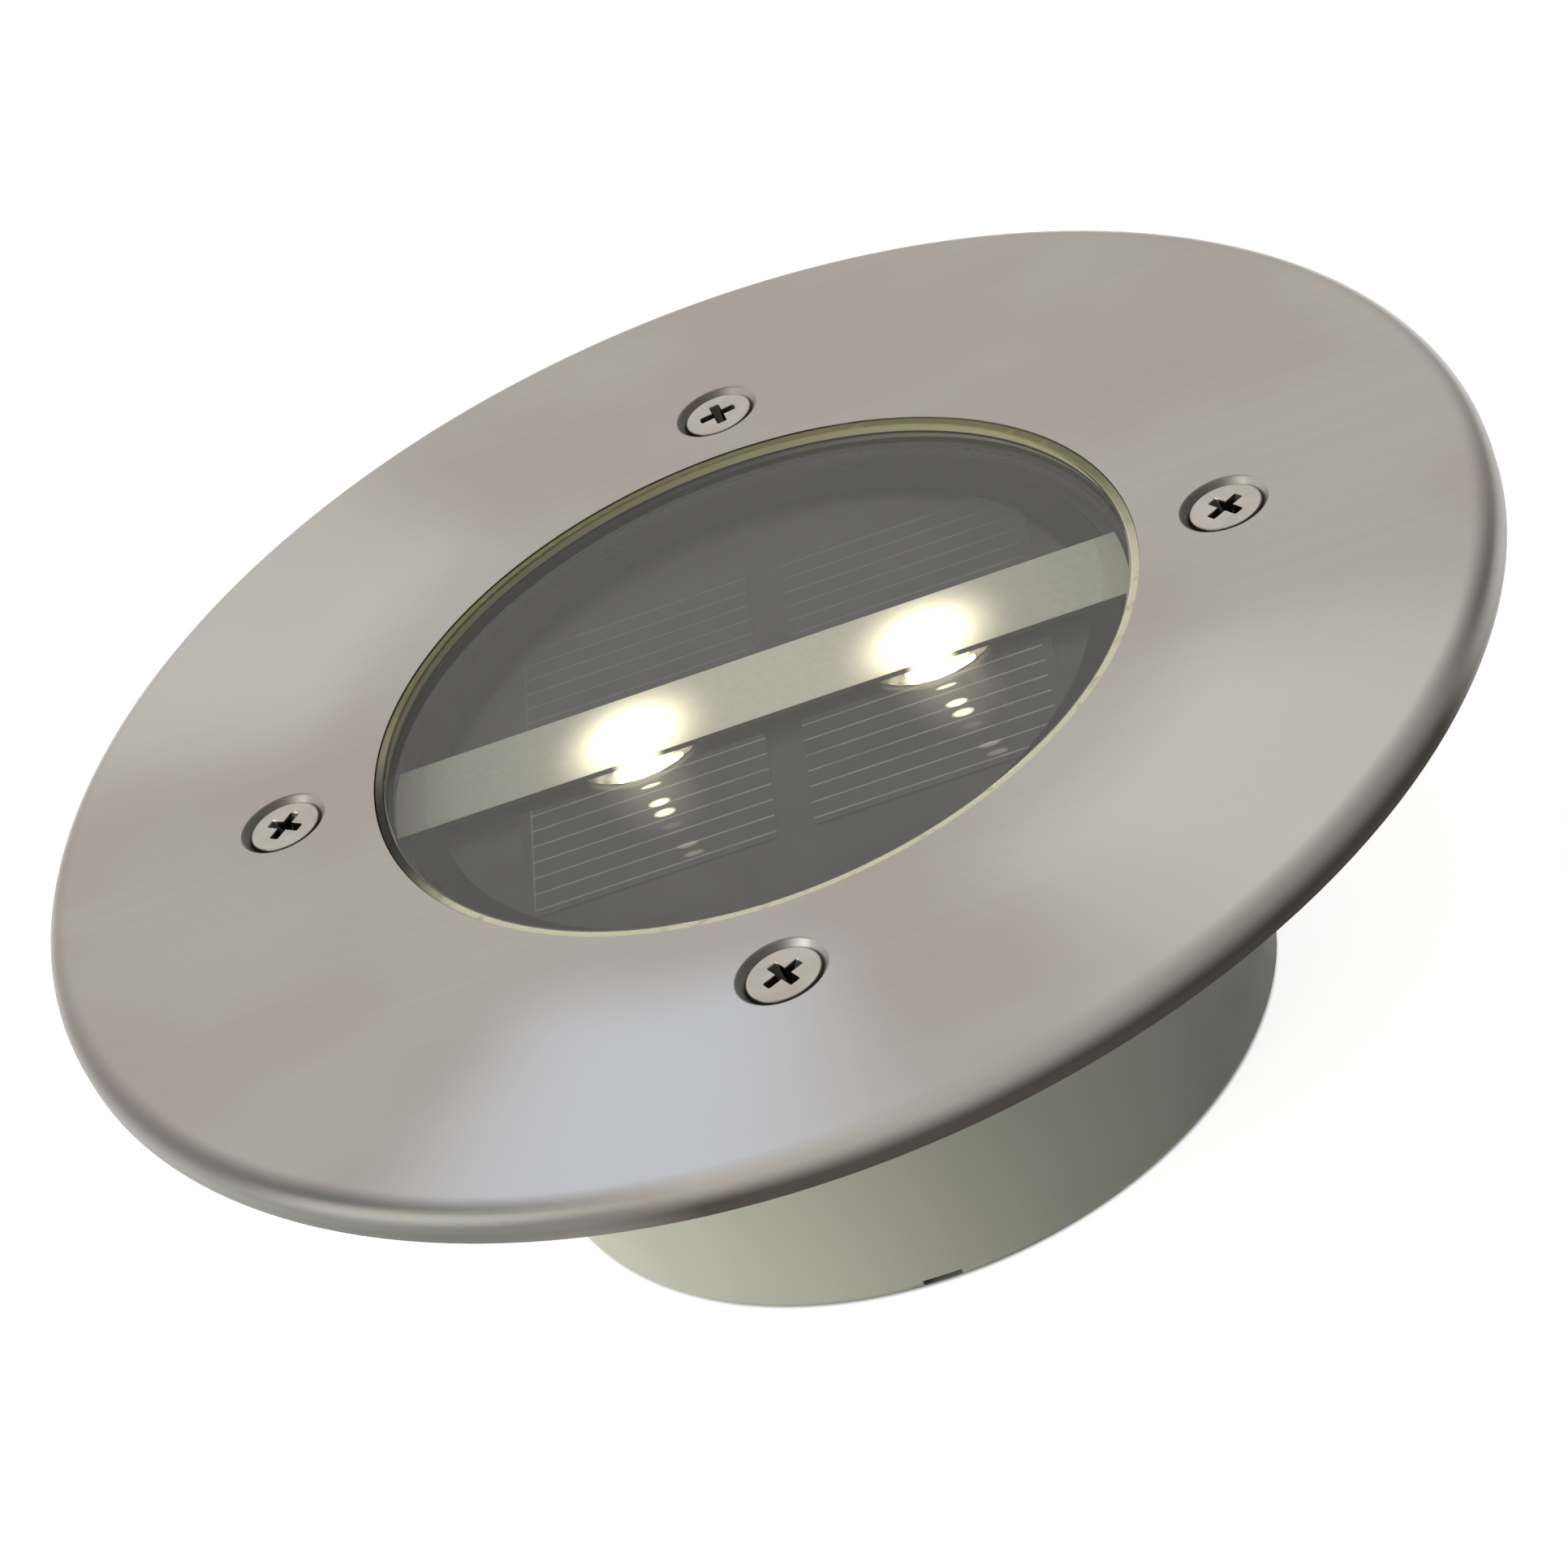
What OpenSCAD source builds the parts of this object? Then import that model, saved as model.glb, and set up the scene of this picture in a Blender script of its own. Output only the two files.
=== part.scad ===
// Solar in-ground light: a round steel cover plate screwed over a plastic cup. The window,
// the solar panel, the two lamps and the battery hang together as one unit in the cup.
// Origin at the centre of the cup's underside, +Z up, +X along the light bar.

/* [Overall] */
// Height from the cup's underside to the top face of the cover plate
light_h = 39.2; // [36:0.2:46]

/* [Cover plate] */
// Outer diameter of the cover plate
plate_d = 120; // [108:1:150]
// Thickness of the steel sheet
sheet_t = 1; // [0.8:0.1:1.2]
// Depth of the rolled-down rim below the top face
rim_depth = 2.8; // [2.4:0.1:6]
// Outer radius of the rolled edge
edge_r = 1.8; // [1.4:0.1:2.2]

/* [Cover screws] */
// Distance of the screws' middle from the edge of the window's flange
screw_margin = 4.3; // [4.1:0.1:5.6]
// Thread diameter of a cover screw
screw_d = 3; // [2.5:0.1:3.2]
// Diameter of the countersunk head
screw_head_d = 6; // [5.4:0.1:6.2]
// Height of the head's straight edge, above its cone
screw_head_edge = 0.3; // [0.1:0.05:0.4]
// Whole length of a cover screw
screw_l = 10; // [8:0.5:10]
// Diameter of the pressed countersink, at the plate's top face
dimple_d = 7.3; // [6.8:0.1:7.5]
// Wall of the pressed countersink
dimple_wall = 0.6; // [0.4:0.1:0.7]
// Land under the cone of the pressed countersink
dimple_land = 0.3; // [0.2:0.1:0.5]
// Length of one arm pair of the cross recess
recess_l = 3.4; // [2.8:0.1:3.8]
// Width of an arm of the cross recess
recess_w = 0.9; // [0.6:0.1:1]
// Depth of the cross recess
recess_h = 1.4; // [0.8:0.1:1.5]

/* [Window] */
// Diameter of the raised middle of the window
window_d = 62.4; // [56:0.2:70]
// Thickness of the raised middle
window_t = 2.2; // [1.6:0.1:2.4]
// How far the window's face lies below the plate's face
window_drop = 0.2; // [0.1:0.05:0.5]
// Width of the window's flange
window_flange_w = 3.8; // [3.4:0.1:5]
// Thickness of the window's flange
window_flange_t = 1.9; // [1.6:0.1:2.2]
// How far the ring under the window reaches in from the raised middle's edge
window_ring_w = 2.7; // [2.6:0.1:3.6]
// Bevel on the window's upper edge
window_bevel = 0.25; // [0.1:0.05:0.4]
// How far the seal's lip lies below the plate's face
seal_drop = 0.1; // [0.05:0.05:0.3]
// Thickness of the seal's lip, between the window and the plate's opening
seal_lip_t = 0.55; // [0.45:0.05:1.2]
// Thickness of the seal's flange, under the plate
seal_t = 0.8; // [0.5:0.1:1.2]
// Width of the seal's flange
seal_w = 3.3; // [2.2:0.1:3.6]

/* [Light bar and lamps] */
// Width of the pale bar
bar_w = 8.7; // [8:0.1:10]
// How far the bar's middle lies behind the middle of the light
bar_shift = 0.6; // [0:0.1:0.8]
// Length of the pale bar
bar_l = 61.4; // [58:0.2:68]
// Thickness of the pale bar
bar_t = 0.5; // [0.3:0.1:0.8]
// Distance between the two lamps
lamp_pitch = 24.4; // [20:0.2:26]
// How far the middle between the lamps lies off the middle of the light
lamp_shift = 1.9; // [0:0.1:2]
// Diameter of a lamp's round body
lamp_d = 5; // [4.6:0.1:5]
// Diameter of the lamp's foot ring
lamp_foot_d = 5.8; // [5.4:0.1:5.8]
// Height of the lamp's foot ring
lamp_foot_h = 1; // [0.8:0.1:1.2]
// Height of a lamp from foot to dome, as a share of the room inside the light
lamp_share = 0.27044; // [0.26:0.001:0.275]
// Diameter of the clear collar round a lamp
collar_d = 9.6; // [9:0.2:12.2]
// Height of the clear collar
collar_h = 0.85; // [0.7:0.05:1.2]
// Ribs round the outside of a collar
collar_ribs = 24; // [12:1:30]
// Diameter of one rib
collar_rib_d = 0.5; // [0.3:0.05:0.6]

/* [Solar panel] */
// Thickness of the panel's board
board_t = 1; // [0.8:0.1:1.4]
// Width of a solar cell, along the bar
cell_w = 20.6; // [14:0.2:21]
// Length of a solar cell, across the bar
cell_l = 14; // [10:0.2:15]
// How far the middle between the cells lies off the middle of the light
cell_shift = 1.4; // [0:0.1:2]
// Distance of the cells' clipped corners from the board's edge
cell_margin = 0.3; // [0.3:0.1:2]
// Thickness of a solar cell
cell_t = 0.2; // [0.15:0.05:0.3]
// Gap between the cells of one side
cell_gap = 3; // [2:0.1:4]
// Distance of the cells from the middle of the bar
cell_offset = 4.7; // [4.6:0.1:7]
// Width of the dark ring that holds the panel down
retainer_w = 2.4; // [2:0.1:3.6]
// Pegs on that ring that reach the window
retainer_pegs = 8; // [4:1:12]
// Diameter of a peg
retainer_peg_d = 0.9; // [0.6:0.05:0.9]

/* [Carrier and circuit board] */
// Diameter of the carrier that the whole lamp unit is built on
carrier_d = 59.4; // [54:0.2:66]
// Width of the carrier's rim round the panel's board
carrier_rim_w = 1.15; // [1:0.05:1.6]
// Thickness of the carrier's floor
carrier_t = 1.5; // [1.2:0.1:2]
// Length of the circuit board
pcb_l = 42; // [36:0.5:44]
// Width of the circuit board
pcb_w = 20; // [18:0.2:20.4]
// Thickness of the circuit board
pcb_t = 1.6; // [1.2:0.1:1.8]
// Distance between the circuit board's two screws
pcb_screw_pitch = 14; // [12:0.5:14.5]
// Diameter of the carrier's posts for the circuit board
pcb_post_d = 5.2; // [4.4:0.1:5.4]
// Diameter of a lamp's lead
lead_d = 0.5; // [0.4:0.05:0.6]
// Distance between the leads of a lamp
lead_pitch = 2.54; // [2:0.02:2.8]

/* [Battery] */
// Diameter of the battery, as a share of the room inside the light
battery_share = 0.4497; // [0.42:0.001:0.46]
// Distance of the holder's corners from the carrier's edge, as the battery's length leaves it
holder_margin = 0.23; // [0.2:0.01:3]
// Diameter of the button
button_d = 5.4; // [4.5:0.1:5.5]
// Height of the button
button_h = 1; // [0.8:0.1:1.4]
// Length of the pressed spring
spring_l = 2.6; // [2.4:0.1:4]
// Turns of the spring
spring_turns = 2.5; // [2:0.5:3]
// Wire of the spring
spring_wire_d = 0.5; // [0.4:0.05:0.6]
// Diameter of the spring at the contact plate
spring_d = 8.5; // [7.5:0.1:9]
// Diameter of the spring at the battery
spring_tip_d = 5; // [4.5:0.1:5.5]
// Wall of the battery holder
holder_wall = 1.2; // [1:0.1:1.3]
// Thickness of the battery holder's roof
holder_roof = 1.5; // [1.3:0.1:1.8]
// Distance between the battery holder's two screws
holder_screw_pitch = 27.6; // [26.8:0.2:32]

/* [Switch] */
// Distance of the switch from the middle
switch_y = 19.5; // [18:0.1:21]
// Length of the switch body
switch_l = 12; // [11:0.2:14]
// Width of the switch body
switch_w = 5.6; // [5:0.1:6]
// Distance of the switch body from the cup's floor
switch_gap = 1.05; // [0.8:0.05:1.6]
// Travel of the switch knob
switch_travel = 2.5; // [2:0.1:3]
// Length of the knob along its travel
knob_l = 3; // [2.5:0.1:3.2]
// Width of the knob
knob_w = 2.6; // [2.2:0.1:2.8]
// Height of the knob's tip above what the light stands on
knob_tip = 1; // [0.6:0.1:1.6]

/* [Cup] */
// Wall of the cup
cup_wall = 2; // [1.6:0.1:2.6]
// Thickness of the cup's floor
floor_t = 2; // [1.6:0.1:2]
// Height of the skirt under the floor
skirt_h = 3; // [2.4:0.1:3]
// Rounding of the cup's lower edge
cup_edge_r = 0.8; // [0.4:0.1:1.2]
// Width of the notch in the skirt
notch_w = 3.2; // [2.4:0.1:5]
// Height of the notch in the skirt
notch_h = 0.9; // [0.6:0.1:2]
// Distance of the cup flange's edge from the screws' middle
flange_margin = 5.2; // [4.4:0.1:7.6]
// Thickness of the cup's flange
flange_t = 2.4; // [2:0.1:3]
// Least width of the seat between the cup's bore and the edge of the window's flange
seat_w = 5; // [5:0.1:6]
// Thickness of the seat that the gasket lies on
seat_t = 2; // [1.6:0.1:2.4]
// Thickness of the flat gasket
gasket_t = 1; // [0.8:0.1:1.4]
// Width of the flat gasket
gasket_w = 3; // [2:0.1:3.2]
// Distance of the gasket from the cup's bore and from the edge of the window's flange
gasket_edge = 1; // [0.8:0.1:1.4]
// Diameter of a screw boss under the flange
boss_d = 7; // [6.4:0.1:7.4]
// Height of a screw boss
boss_h = 10.6; // [10.6:0.1:12]
// Thickness of the ribs between the bosses and the cup
rib_t = 1.6; // [1.2:0.1:2.2]

/* [Hidden] */
// Overrun of a cut past the face it opens
cut = 0.4;
// Radial clearance between turned or moulded round pieces that fit in each other
fit = 0.05;
// Clearance between pieces that only pass each other
pass = 0.3;
// Sink of one solid into another where both are one moulded piece
join = 0.2;
screw_count = 4;
root_two = sqrt(2);

// Heights, from the top face down
plate_under_z = light_h - sheet_t;
seal_top_z = light_h - seal_drop;
window_top_z = light_h - window_drop;
window_under_z = window_top_z - window_t;
window_flange_top_z = plate_under_z - seal_t;
window_flange_z = window_flange_top_z - window_flange_t;
bar_top_z = window_flange_z - fit;
bar_z = bar_top_z - bar_t;
board_top_z = bar_z - collar_h;
cell_top_z = board_top_z + cell_t;
board_z = board_top_z - board_t;
carrier_z = board_z - carrier_t;
seat_z = window_flange_z - gasket_t;
floor_z = skirt_h + floor_t;
room_h = window_under_z - floor_z;
lamp_top_gap = 0.6;
lamp_top_z = window_under_z - lamp_top_gap;
lamp_h = lamp_share * room_h;
lamp_z = lamp_top_z - lamp_h;
lamp_standoff = 0.5;
pcb_top_z = lamp_z - lamp_standoff;
pcb_z = pcb_top_z - pcb_t;
lead_room_share = 0.08176;
lead_room = lead_room_share * room_h;
holder_top_z = pcb_z - lead_room;
holder_roof_z = holder_top_z - holder_roof;
battery_gap = 0.2;
battery_d = battery_share * room_h;
battery_z = holder_roof_z - battery_gap - battery_d / 2;
holder_grip_share = 0.2098;
holder_grip = holder_grip_share * battery_d;
holder_z = battery_z - holder_grip;
switch_h = holder_z - floor_z - switch_gap;

// Diameters, from the carrier and the window out
cup_in_r = carrier_d / 2 + pass;
cup_r = cup_in_r + cup_wall;
gasket_in_r = max(cup_in_r + gasket_edge, bar_l / 2 + pass);
window_flange_r = max(window_d / 2 + window_flange_w, cup_in_r + seat_w,
    gasket_in_r + gasket_w + gasket_edge);
opening_d = window_d + 2 * (seal_lip_t + 2 * fit);
seal_d = window_d + 2 * seal_w;
board_d = carrier_d - 2 * (carrier_rim_w + fit);
retainer_d = carrier_d - 2 * retainer_w;
window_ring_d = min(window_d - 2 * window_ring_w, board_d);
screw_circle_r = window_flange_r + screw_margin;
flange_d = 2 * (screw_circle_r + flange_margin);

// Cover screws
screw_hole_d = screw_d + 2 * pass;
dimple_cone_h = (dimple_d - screw_hole_d) / 2;
dimple_z = light_h - dimple_cone_h - dimple_land;
screw_seat_gap = 0.03;
screw_top_z = light_h - (dimple_d - screw_head_d) / 2 + screw_seat_gap + screw_head_edge;
screw_tip_h = 1;
dimple_room_d = 2 * dimple_wall * root_two + dimple_d - 2 * sheet_t + pass;
boss_top_z = dimple_z - pass / 2;
boss_z = plate_under_z - boss_h;
boss_bore_end = 0.8;

// Lamps and their collars
lamp_bore_d = lamp_foot_d + 2 * fit;
bar_bore_d = lamp_d + pass;
lamp_x = lamp_pitch / 2;
lead_end_h = 0.8;
lead_bore_d = lead_d + 2 * pass;

// Retainer and carrier
carrier_recess_d = board_d + 2 * fit;
retainer_peg_r = (carrier_recess_d + carrier_d) / 4;

// Small parts on the circuit board
pcb_screw_d = 2;
pcb_screw_head_d = 3.8;
pcb_screw_head_h = 1.3;
pcb_screw_l = 5;
pcb_hole_d = pcb_screw_d + pass;
chip_size = [5, 4, 1.5];
chip_pos = [0, 0];
chip_leg_size = [0.4, 1, 0.3];
chip_leg_pitch = 1.27;
chip_legs = 4;
post_h = carrier_z - pcb_top_z;
inductor_d = 5;
inductor_gap = 0.9;
inductor_h = post_h - inductor_gap;
inductor_waist_d = 3.6;
inductor_rim_share = 0.19;
inductor_rim_h = inductor_rim_share * inductor_h;
inductor_pos = [6.2, 5.4];
capacitor_d = 4;
capacitor_gap = 0.5;
capacitor_h = post_h - capacitor_gap;
capacitor_pos = [-6.4, 5.6];
resistor_size = [2, 1.25, 0.6];
resistor_count = 3;
resistor_pitch = 3;
resistor_pos = [-7.4, -6];

// Battery holder, its contacts and its spring
holder_in_w = battery_d + 2 * battery_gap;
holder_w = holder_in_w + 2 * holder_wall;
contact_t = 0.4;
contact_w = 10;
contact_h = 10;
tab_w = 3;
tab_top_z = holder_top_z + lead_room / 2;
contact_play = 0.05;
holder_l = 2 * sqrt((carrier_d / 2 - holder_margin) ^ 2 - (holder_w / 2) ^ 2);
holder_in_l = holder_l - 2 * holder_wall;
battery_l = holder_in_l - spring_l - 2 * contact_t - 2 * contact_play;
battery_tip_x = holder_in_l / 2 - contact_t - contact_play;
battery_end_x = battery_tip_x - battery_l;
sleeve_t = 0.3;
holder_ear_r = 3;
holder_post_d = 5.4;
holder_screw_d = 2.2;
holder_screw_head_d = 4;
holder_screw_head_h = 1.3;
holder_screw_l = 8;
spring_rings = 12;
spring_sides = 6;

// Switch shelf, switch and knob
shelf_l = switch_l + 2;
shelf_t = 1.5;
switch_top_z = holder_z;
switch_z = switch_top_z - switch_h;
switch_slot_share = 0.44;
switch_slot_h = switch_slot_share * switch_h;
knob_top_z = switch_z + switch_slot_h - pass;
knob_groove_w = 0.5;
knob_groove_h = 0.4;
knob_grooves = 3;
knob_x = switch_travel / 2;
switch_pin_d = 0.6;
switch_pin_h = 2.6;
switch_pin_pitch = 4.2;

// Wires: the routes' points are chosen by hand, as offsets from the pieces that they join
wire_d = 1.2;
wire_sides = 8;
wire_passes = 3;
corner_share = 0.25;
panel_wire_x = -17;
panel_wire_y = 5;
wire_hole_d = wire_d + 2 * pass;
battery_wire_z = pcb_z - wire_d;
switch_wire_in = 1.2;

// Cup
recess_r = window_flange_r + pass;
riser_r = recess_r + cup_wall;
seat_under_z = seat_z - seat_t;
shoulder_h = riser_r - cup_r;
slot_l = knob_l + switch_travel + 2 * pass;
slot_w = knob_w + 2 * pass;

// Half section of a round piece with a rounded upper outer edge, standing on z = 0
module rounded_section(r, h, e) {
    square([r - e, h]);
    square([r, h - e]);
    translate([r - e, h - e]) intersection() {
        circle(e, $fn = 48);
        square(e);
    }
}

// Flat ring from z = 0 up
module ring(outer_d, inner_d, h) {
    difference() {
        cylinder(d = outer_d, h = h, $fn = 128);
        translate([0, 0, -cut]) cylinder(d = inner_d, h = h + 2 * cut, $fn = 128);
    }
}

// Pan-head screw, its head's underside at the origin and its thread upwards
module pan_screw(thread_d, length, head_d, head_h) {
    slot_w = head_d / 6;
    difference() {
        union() {
            translate([0, 0, -head_h]) cylinder(d1 = head_d * 0.8, d2 = head_d, h = head_h / 2, $fn = 32);
            translate([0, 0, -head_h / 2]) cylinder(d = head_d, h = head_h / 2, $fn = 32);
            cylinder(d = thread_d, h = length, $fn = 32);
        }
        for (a = [0, 90])
            rotate(a) translate([-head_d / 3, -slot_w / 2, -head_h - cut])
                cube([head_d * 2 / 3, slot_w, head_h / 2 + cut]);
    }
}

// A route with each corner cut to two points, once per pass
function rounded_route(p, passes) = passes == 0 ? p : rounded_route(
    concat([p[0]],
        [for (i = [1 : len(p) - 2])
            each [corner_share * p[i - 1] + (1 - corner_share) * p[i],
                (1 - corner_share) * p[i] + corner_share * p[i + 1]]],
        [p[len(p) - 1]]),
    passes - 1);

// Direction of a route at one of its points
function heading(p, i) =
    let (run = p[min(i + 1, len(p) - 1)] - p[max(i - 1, 0)])
    run / norm(run);

// Round tube along a route whose plane is square to the direction across
module tube(p, d, across, sides) {
    last = len(p) - 1;
    points = [for (i = [0 : last], j = [0 : sides - 1])
        let (t = heading(p, i), u = cross(across, t) / norm(cross(across, t)), v = cross(t, u),
            b = 360 * j / sides)
        p[i] + d / 2 * (cos(b) * u + sin(b) * v)];
    faces = concat(
        [for (i = [0 : last - 1], j = [0 : sides - 1])
            let (a = i * sides + j, b = i * sides + (j + 1) % sides)
            each [[a, a + sides, b], [b, a + sides, b + sides]]],
        [for (j = [1 : sides - 2]) [0, j, j + 1]],
        [for (j = [1 : sides - 2]) let (e = last * sides) [e, e + j + 1, e + j]]);
    polyhedron(points, faces);
}

// Insulated wire along a route
module wire(points, across) {
    tube(rounded_route(points, wire_passes), wire_d, across, wire_sides);
}

// Places things at the four cover screws
module at_screws() {
    for (i = [0 : screw_count - 1])
        rotate(i * 360 / screw_count) translate([screw_circle_r, 0, 0]) children();
}

// Places things at the two lamps
module at_lamps() {
    for (side = [-1, 1]) translate([lamp_shift + side * lamp_x, 0, 0]) children();
}

// Brushed steel sheet, with a rolled rim and four pressed countersinks
module cover_plate() {
    color("lightgray") difference() {
        union() {
            difference() {
                translate([0, 0, light_h - rim_depth]) rotate_extrude($fn = 192)
                    rounded_section(plate_d / 2, rim_depth, edge_r);
                translate([0, 0, light_h - rim_depth - sheet_t]) rotate_extrude($fn = 192)
                    rounded_section(plate_d / 2 - sheet_t, rim_depth, edge_r - sheet_t);
            }
            at_screws() translate([0, 0, dimple_z]) cylinder(
                r1 = screw_hole_d / 2 + dimple_wall * root_two - dimple_land,
                r2 = dimple_d / 2 + dimple_wall * root_two - sheet_t / 2,
                h = light_h - sheet_t / 2 - dimple_z, $fn = 48);
        }
        translate([0, 0, plate_under_z - cut]) cylinder(d = opening_d, h = sheet_t + 2 * cut, $fn = 192);
        at_screws() {
            translate([0, 0, light_h - dimple_cone_h]) cylinder(
                d1 = screw_hole_d, d2 = dimple_d + 2 * cut, h = dimple_cone_h + cut, $fn = 48);
            translate([0, 0, dimple_z - cut]) cylinder(
                d = screw_hole_d, h = light_h - dimple_z, $fn = 48);
        }
    }
}

// Countersunk screws with a cross recess
module cover_screws() {
    cone_h = (screw_head_d - screw_d) / 2;
    under_head = screw_head_edge + cone_h;
    color("silver") at_screws() translate([0, 0, screw_top_z]) difference() {
        union() {
            translate([0, 0, -screw_head_edge])
                cylinder(d = screw_head_d, h = screw_head_edge, $fn = 48);
            translate([0, 0, -under_head])
                cylinder(d1 = screw_d, d2 = screw_head_d, h = cone_h, $fn = 48);
            translate([0, 0, screw_tip_h - screw_l])
                cylinder(d = screw_d, h = screw_l - under_head - screw_tip_h, $fn = 48);
            translate([0, 0, -screw_l])
                cylinder(d1 = screw_d / 3, d2 = screw_d, h = screw_tip_h, $fn = 48);
        }
        for (a = [45, 135])
            rotate(a) translate([-recess_l / 2, -recess_w / 2, -recess_h])
                cube([recess_l, recess_w, recess_h + cut]);
    }
}

// Cream silicone seal: a thin lip in the plate's opening, on a flange under the plate
module window_seal() {
    lip_in_r = window_d / 2 + fit;
    color("palegoldenrod") rotate_extrude($fn = 192) polygon([
        [lip_in_r, window_flange_top_z],
        [seal_d / 2, window_flange_top_z],
        [seal_d / 2, plate_under_z],
        [opening_d / 2 - fit, plate_under_z],
        [opening_d / 2 - fit, seal_top_z],
        [lip_in_r, seal_top_z]]);
}

// Clear window: a raised middle, a flange under the seal and a ring that bears on the gasket
module window() {
    color("aliceblue", 0.4) rotate_extrude($fn = 192) polygon([
        [0, window_under_z],
        [window_ring_d / 2, window_under_z],
        [window_ring_d / 2, window_flange_z],
        [window_flange_r, window_flange_z],
        [window_flange_r, window_flange_top_z],
        [window_d / 2, window_flange_top_z],
        [window_d / 2, window_top_z - window_bevel],
        [window_d / 2 - window_bevel, window_top_z],
        [0, window_top_z]]);
}

// Pale bar across the window, which the lamps shine through
module light_bar() {
    color("honeydew") difference() {
        intersection() {
            translate([-bar_l / 2, bar_shift - bar_w / 2, bar_z]) cube([bar_l, bar_w, bar_t]);
            translate([0, 0, bar_z - cut]) cylinder(d = bar_l, h = bar_t + 2 * cut, $fn = 128);
        }
        at_lamps() translate([0, 0, bar_z - cut]) cylinder(d = bar_bore_d, h = bar_t + 2 * cut, $fn = 48);
    }
}

// Clear ribbed collars that centre the lamps between the panel and the bar
module lamp_collars() {
    rib_r = (collar_d - collar_rib_d) / 2;
    color("whitesmoke", 0.5) at_lamps() translate([0, 0, board_top_z]) difference() {
        union() {
            cylinder(r = rib_r, h = collar_h, $fn = 64);
            for (i = [0 : collar_ribs - 1])
                rotate((i + 0.5) * 360 / collar_ribs) translate([rib_r, 0, 0])
                    cylinder(d = collar_rib_d, h = collar_h, $fn = 16);
        }
        translate([0, 0, -cut]) cylinder(d = lamp_bore_d, h = collar_h + 2 * cut, $fn = 48);
    }
}

// Round warm-white lamps
module lamps() {
    color("lightyellow") at_lamps() translate([0, 0, lamp_z]) {
        cylinder(d = lamp_foot_d, h = lamp_foot_h, $fn = 48);
        cylinder(d = lamp_d, h = lamp_h - lamp_d / 2, $fn = 48);
        translate([0, 0, lamp_h - lamp_d / 2]) sphere(d = lamp_d, $fn = 48);
    }
}

// Tinned leads of the lamps, through the circuit board
module lamp_leads() {
    lead_z = pcb_z - lead_end_h;
    color("silver") at_lamps() for (side = [-1, 1])
        translate([0, side * lead_pitch / 2, lead_z]) cylinder(d = lead_d, h = lamp_z - lead_z, $fn = 24);
}

// Four solar cells, two on each side of the bar, clipped to the board and round the collars
module solar_cells() {
    color("darkslategray") translate([0, 0, board_top_z]) difference() {
        intersection() {
            translate([cell_shift, bar_shift, 0]) for (sx = [0, 1], sy = [0, 1])
                mirror([sx, 0, 0]) mirror([0, sy, 0]) translate([cell_gap / 2, cell_offset, 0])
                    cube([cell_w, cell_l, cell_t]);
            translate([0, 0, -cut]) cylinder(d = board_d - 2 * cell_margin, h = cell_t + 2 * cut, $fn = 128);
        }
        at_lamps() translate([0, 0, -cut]) cylinder(d = collar_d + pass, h = cell_t + 2 * cut, $fn = 64);
    }
}

// Round board that carries the cells
module solar_board() {
    color("dimgray") translate([0, 0, board_z]) difference() {
        cylinder(d = board_d, h = board_t, $fn = 128);
        at_lamps() translate([0, 0, -cut]) cylinder(d = lamp_bore_d, h = board_t + 2 * cut, $fn = 48);
    }
}

// Dark ring that holds the panel down, with pegs glued to the window's ring
module panel_retainer() {
    color("black") {
        rotate_extrude($fn = 128) polygon([
            [retainer_d / 2, cell_top_z],
            [carrier_recess_d / 2, cell_top_z],
            [carrier_recess_d / 2, board_top_z],
            [carrier_d / 2, board_top_z],
            [carrier_d / 2, bar_z],
            [retainer_d / 2, bar_z]]);
        for (i = [0 : retainer_pegs - 1])
            rotate((i + 0.5) * 360 / retainer_pegs) translate([retainer_peg_r, 0, bar_z - join])
                cylinder(d = retainer_peg_d, h = window_flange_z - bar_z + join, $fn = 24);
    }
}

// Black moulded carrier: a tray for the panel, posts for the circuit board and the battery holder
module carrier() {
    color("darkslategray") difference() {
        union() {
            translate([0, 0, carrier_z]) cylinder(d = carrier_d, h = board_top_z - carrier_z, $fn = 128);
            for (side = [-1, 1]) {
                translate([0, side * pcb_screw_pitch / 2, pcb_top_z])
                    cylinder(d = pcb_post_d, h = carrier_z - pcb_top_z + join, $fn = 48);
                translate([0, side * holder_screw_pitch / 2, holder_top_z])
                    cylinder(d = holder_post_d, h = carrier_z - holder_top_z + join, $fn = 48);
            }
        }
        translate([0, 0, board_z]) cylinder(d = carrier_recess_d, h = board_t + cut, $fn = 128);
        at_lamps() translate([0, 0, carrier_z - cut])
            cylinder(d = lamp_bore_d, h = carrier_t + 2 * cut, $fn = 48);
        for (side = [-1, 1]) {
            translate([panel_wire_x, side * panel_wire_y, carrier_z - cut])
                cylinder(d = wire_hole_d, h = carrier_t + 2 * cut, $fn = 32);
            translate([0, side * pcb_screw_pitch / 2, pcb_top_z - cut])
                cylinder(d = pcb_screw_d + 2 * fit, h = pcb_screw_l + cut, $fn = 32);
            translate([0, side * holder_screw_pitch / 2, holder_top_z - cut])
                cylinder(d = holder_screw_d + 2 * fit, h = holder_screw_l + cut, $fn = 32);
        }
    }
}

// Circuit board under the carrier's posts
module circuit_board() {
    color("seagreen") difference() {
        translate([-pcb_l / 2, -pcb_w / 2, pcb_z]) cube([pcb_l, pcb_w, pcb_t]);
        for (side = [-1, 1]) {
            translate([0, side * pcb_screw_pitch / 2, pcb_z - cut])
                cylinder(d = pcb_hole_d, h = pcb_t + 2 * cut, $fn = 32);
            at_lamps() translate([0, side * lead_pitch / 2, pcb_z - cut])
                cylinder(d = lead_bore_d, h = pcb_t + 2 * cut, $fn = 24);
        }
    }
}

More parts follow.
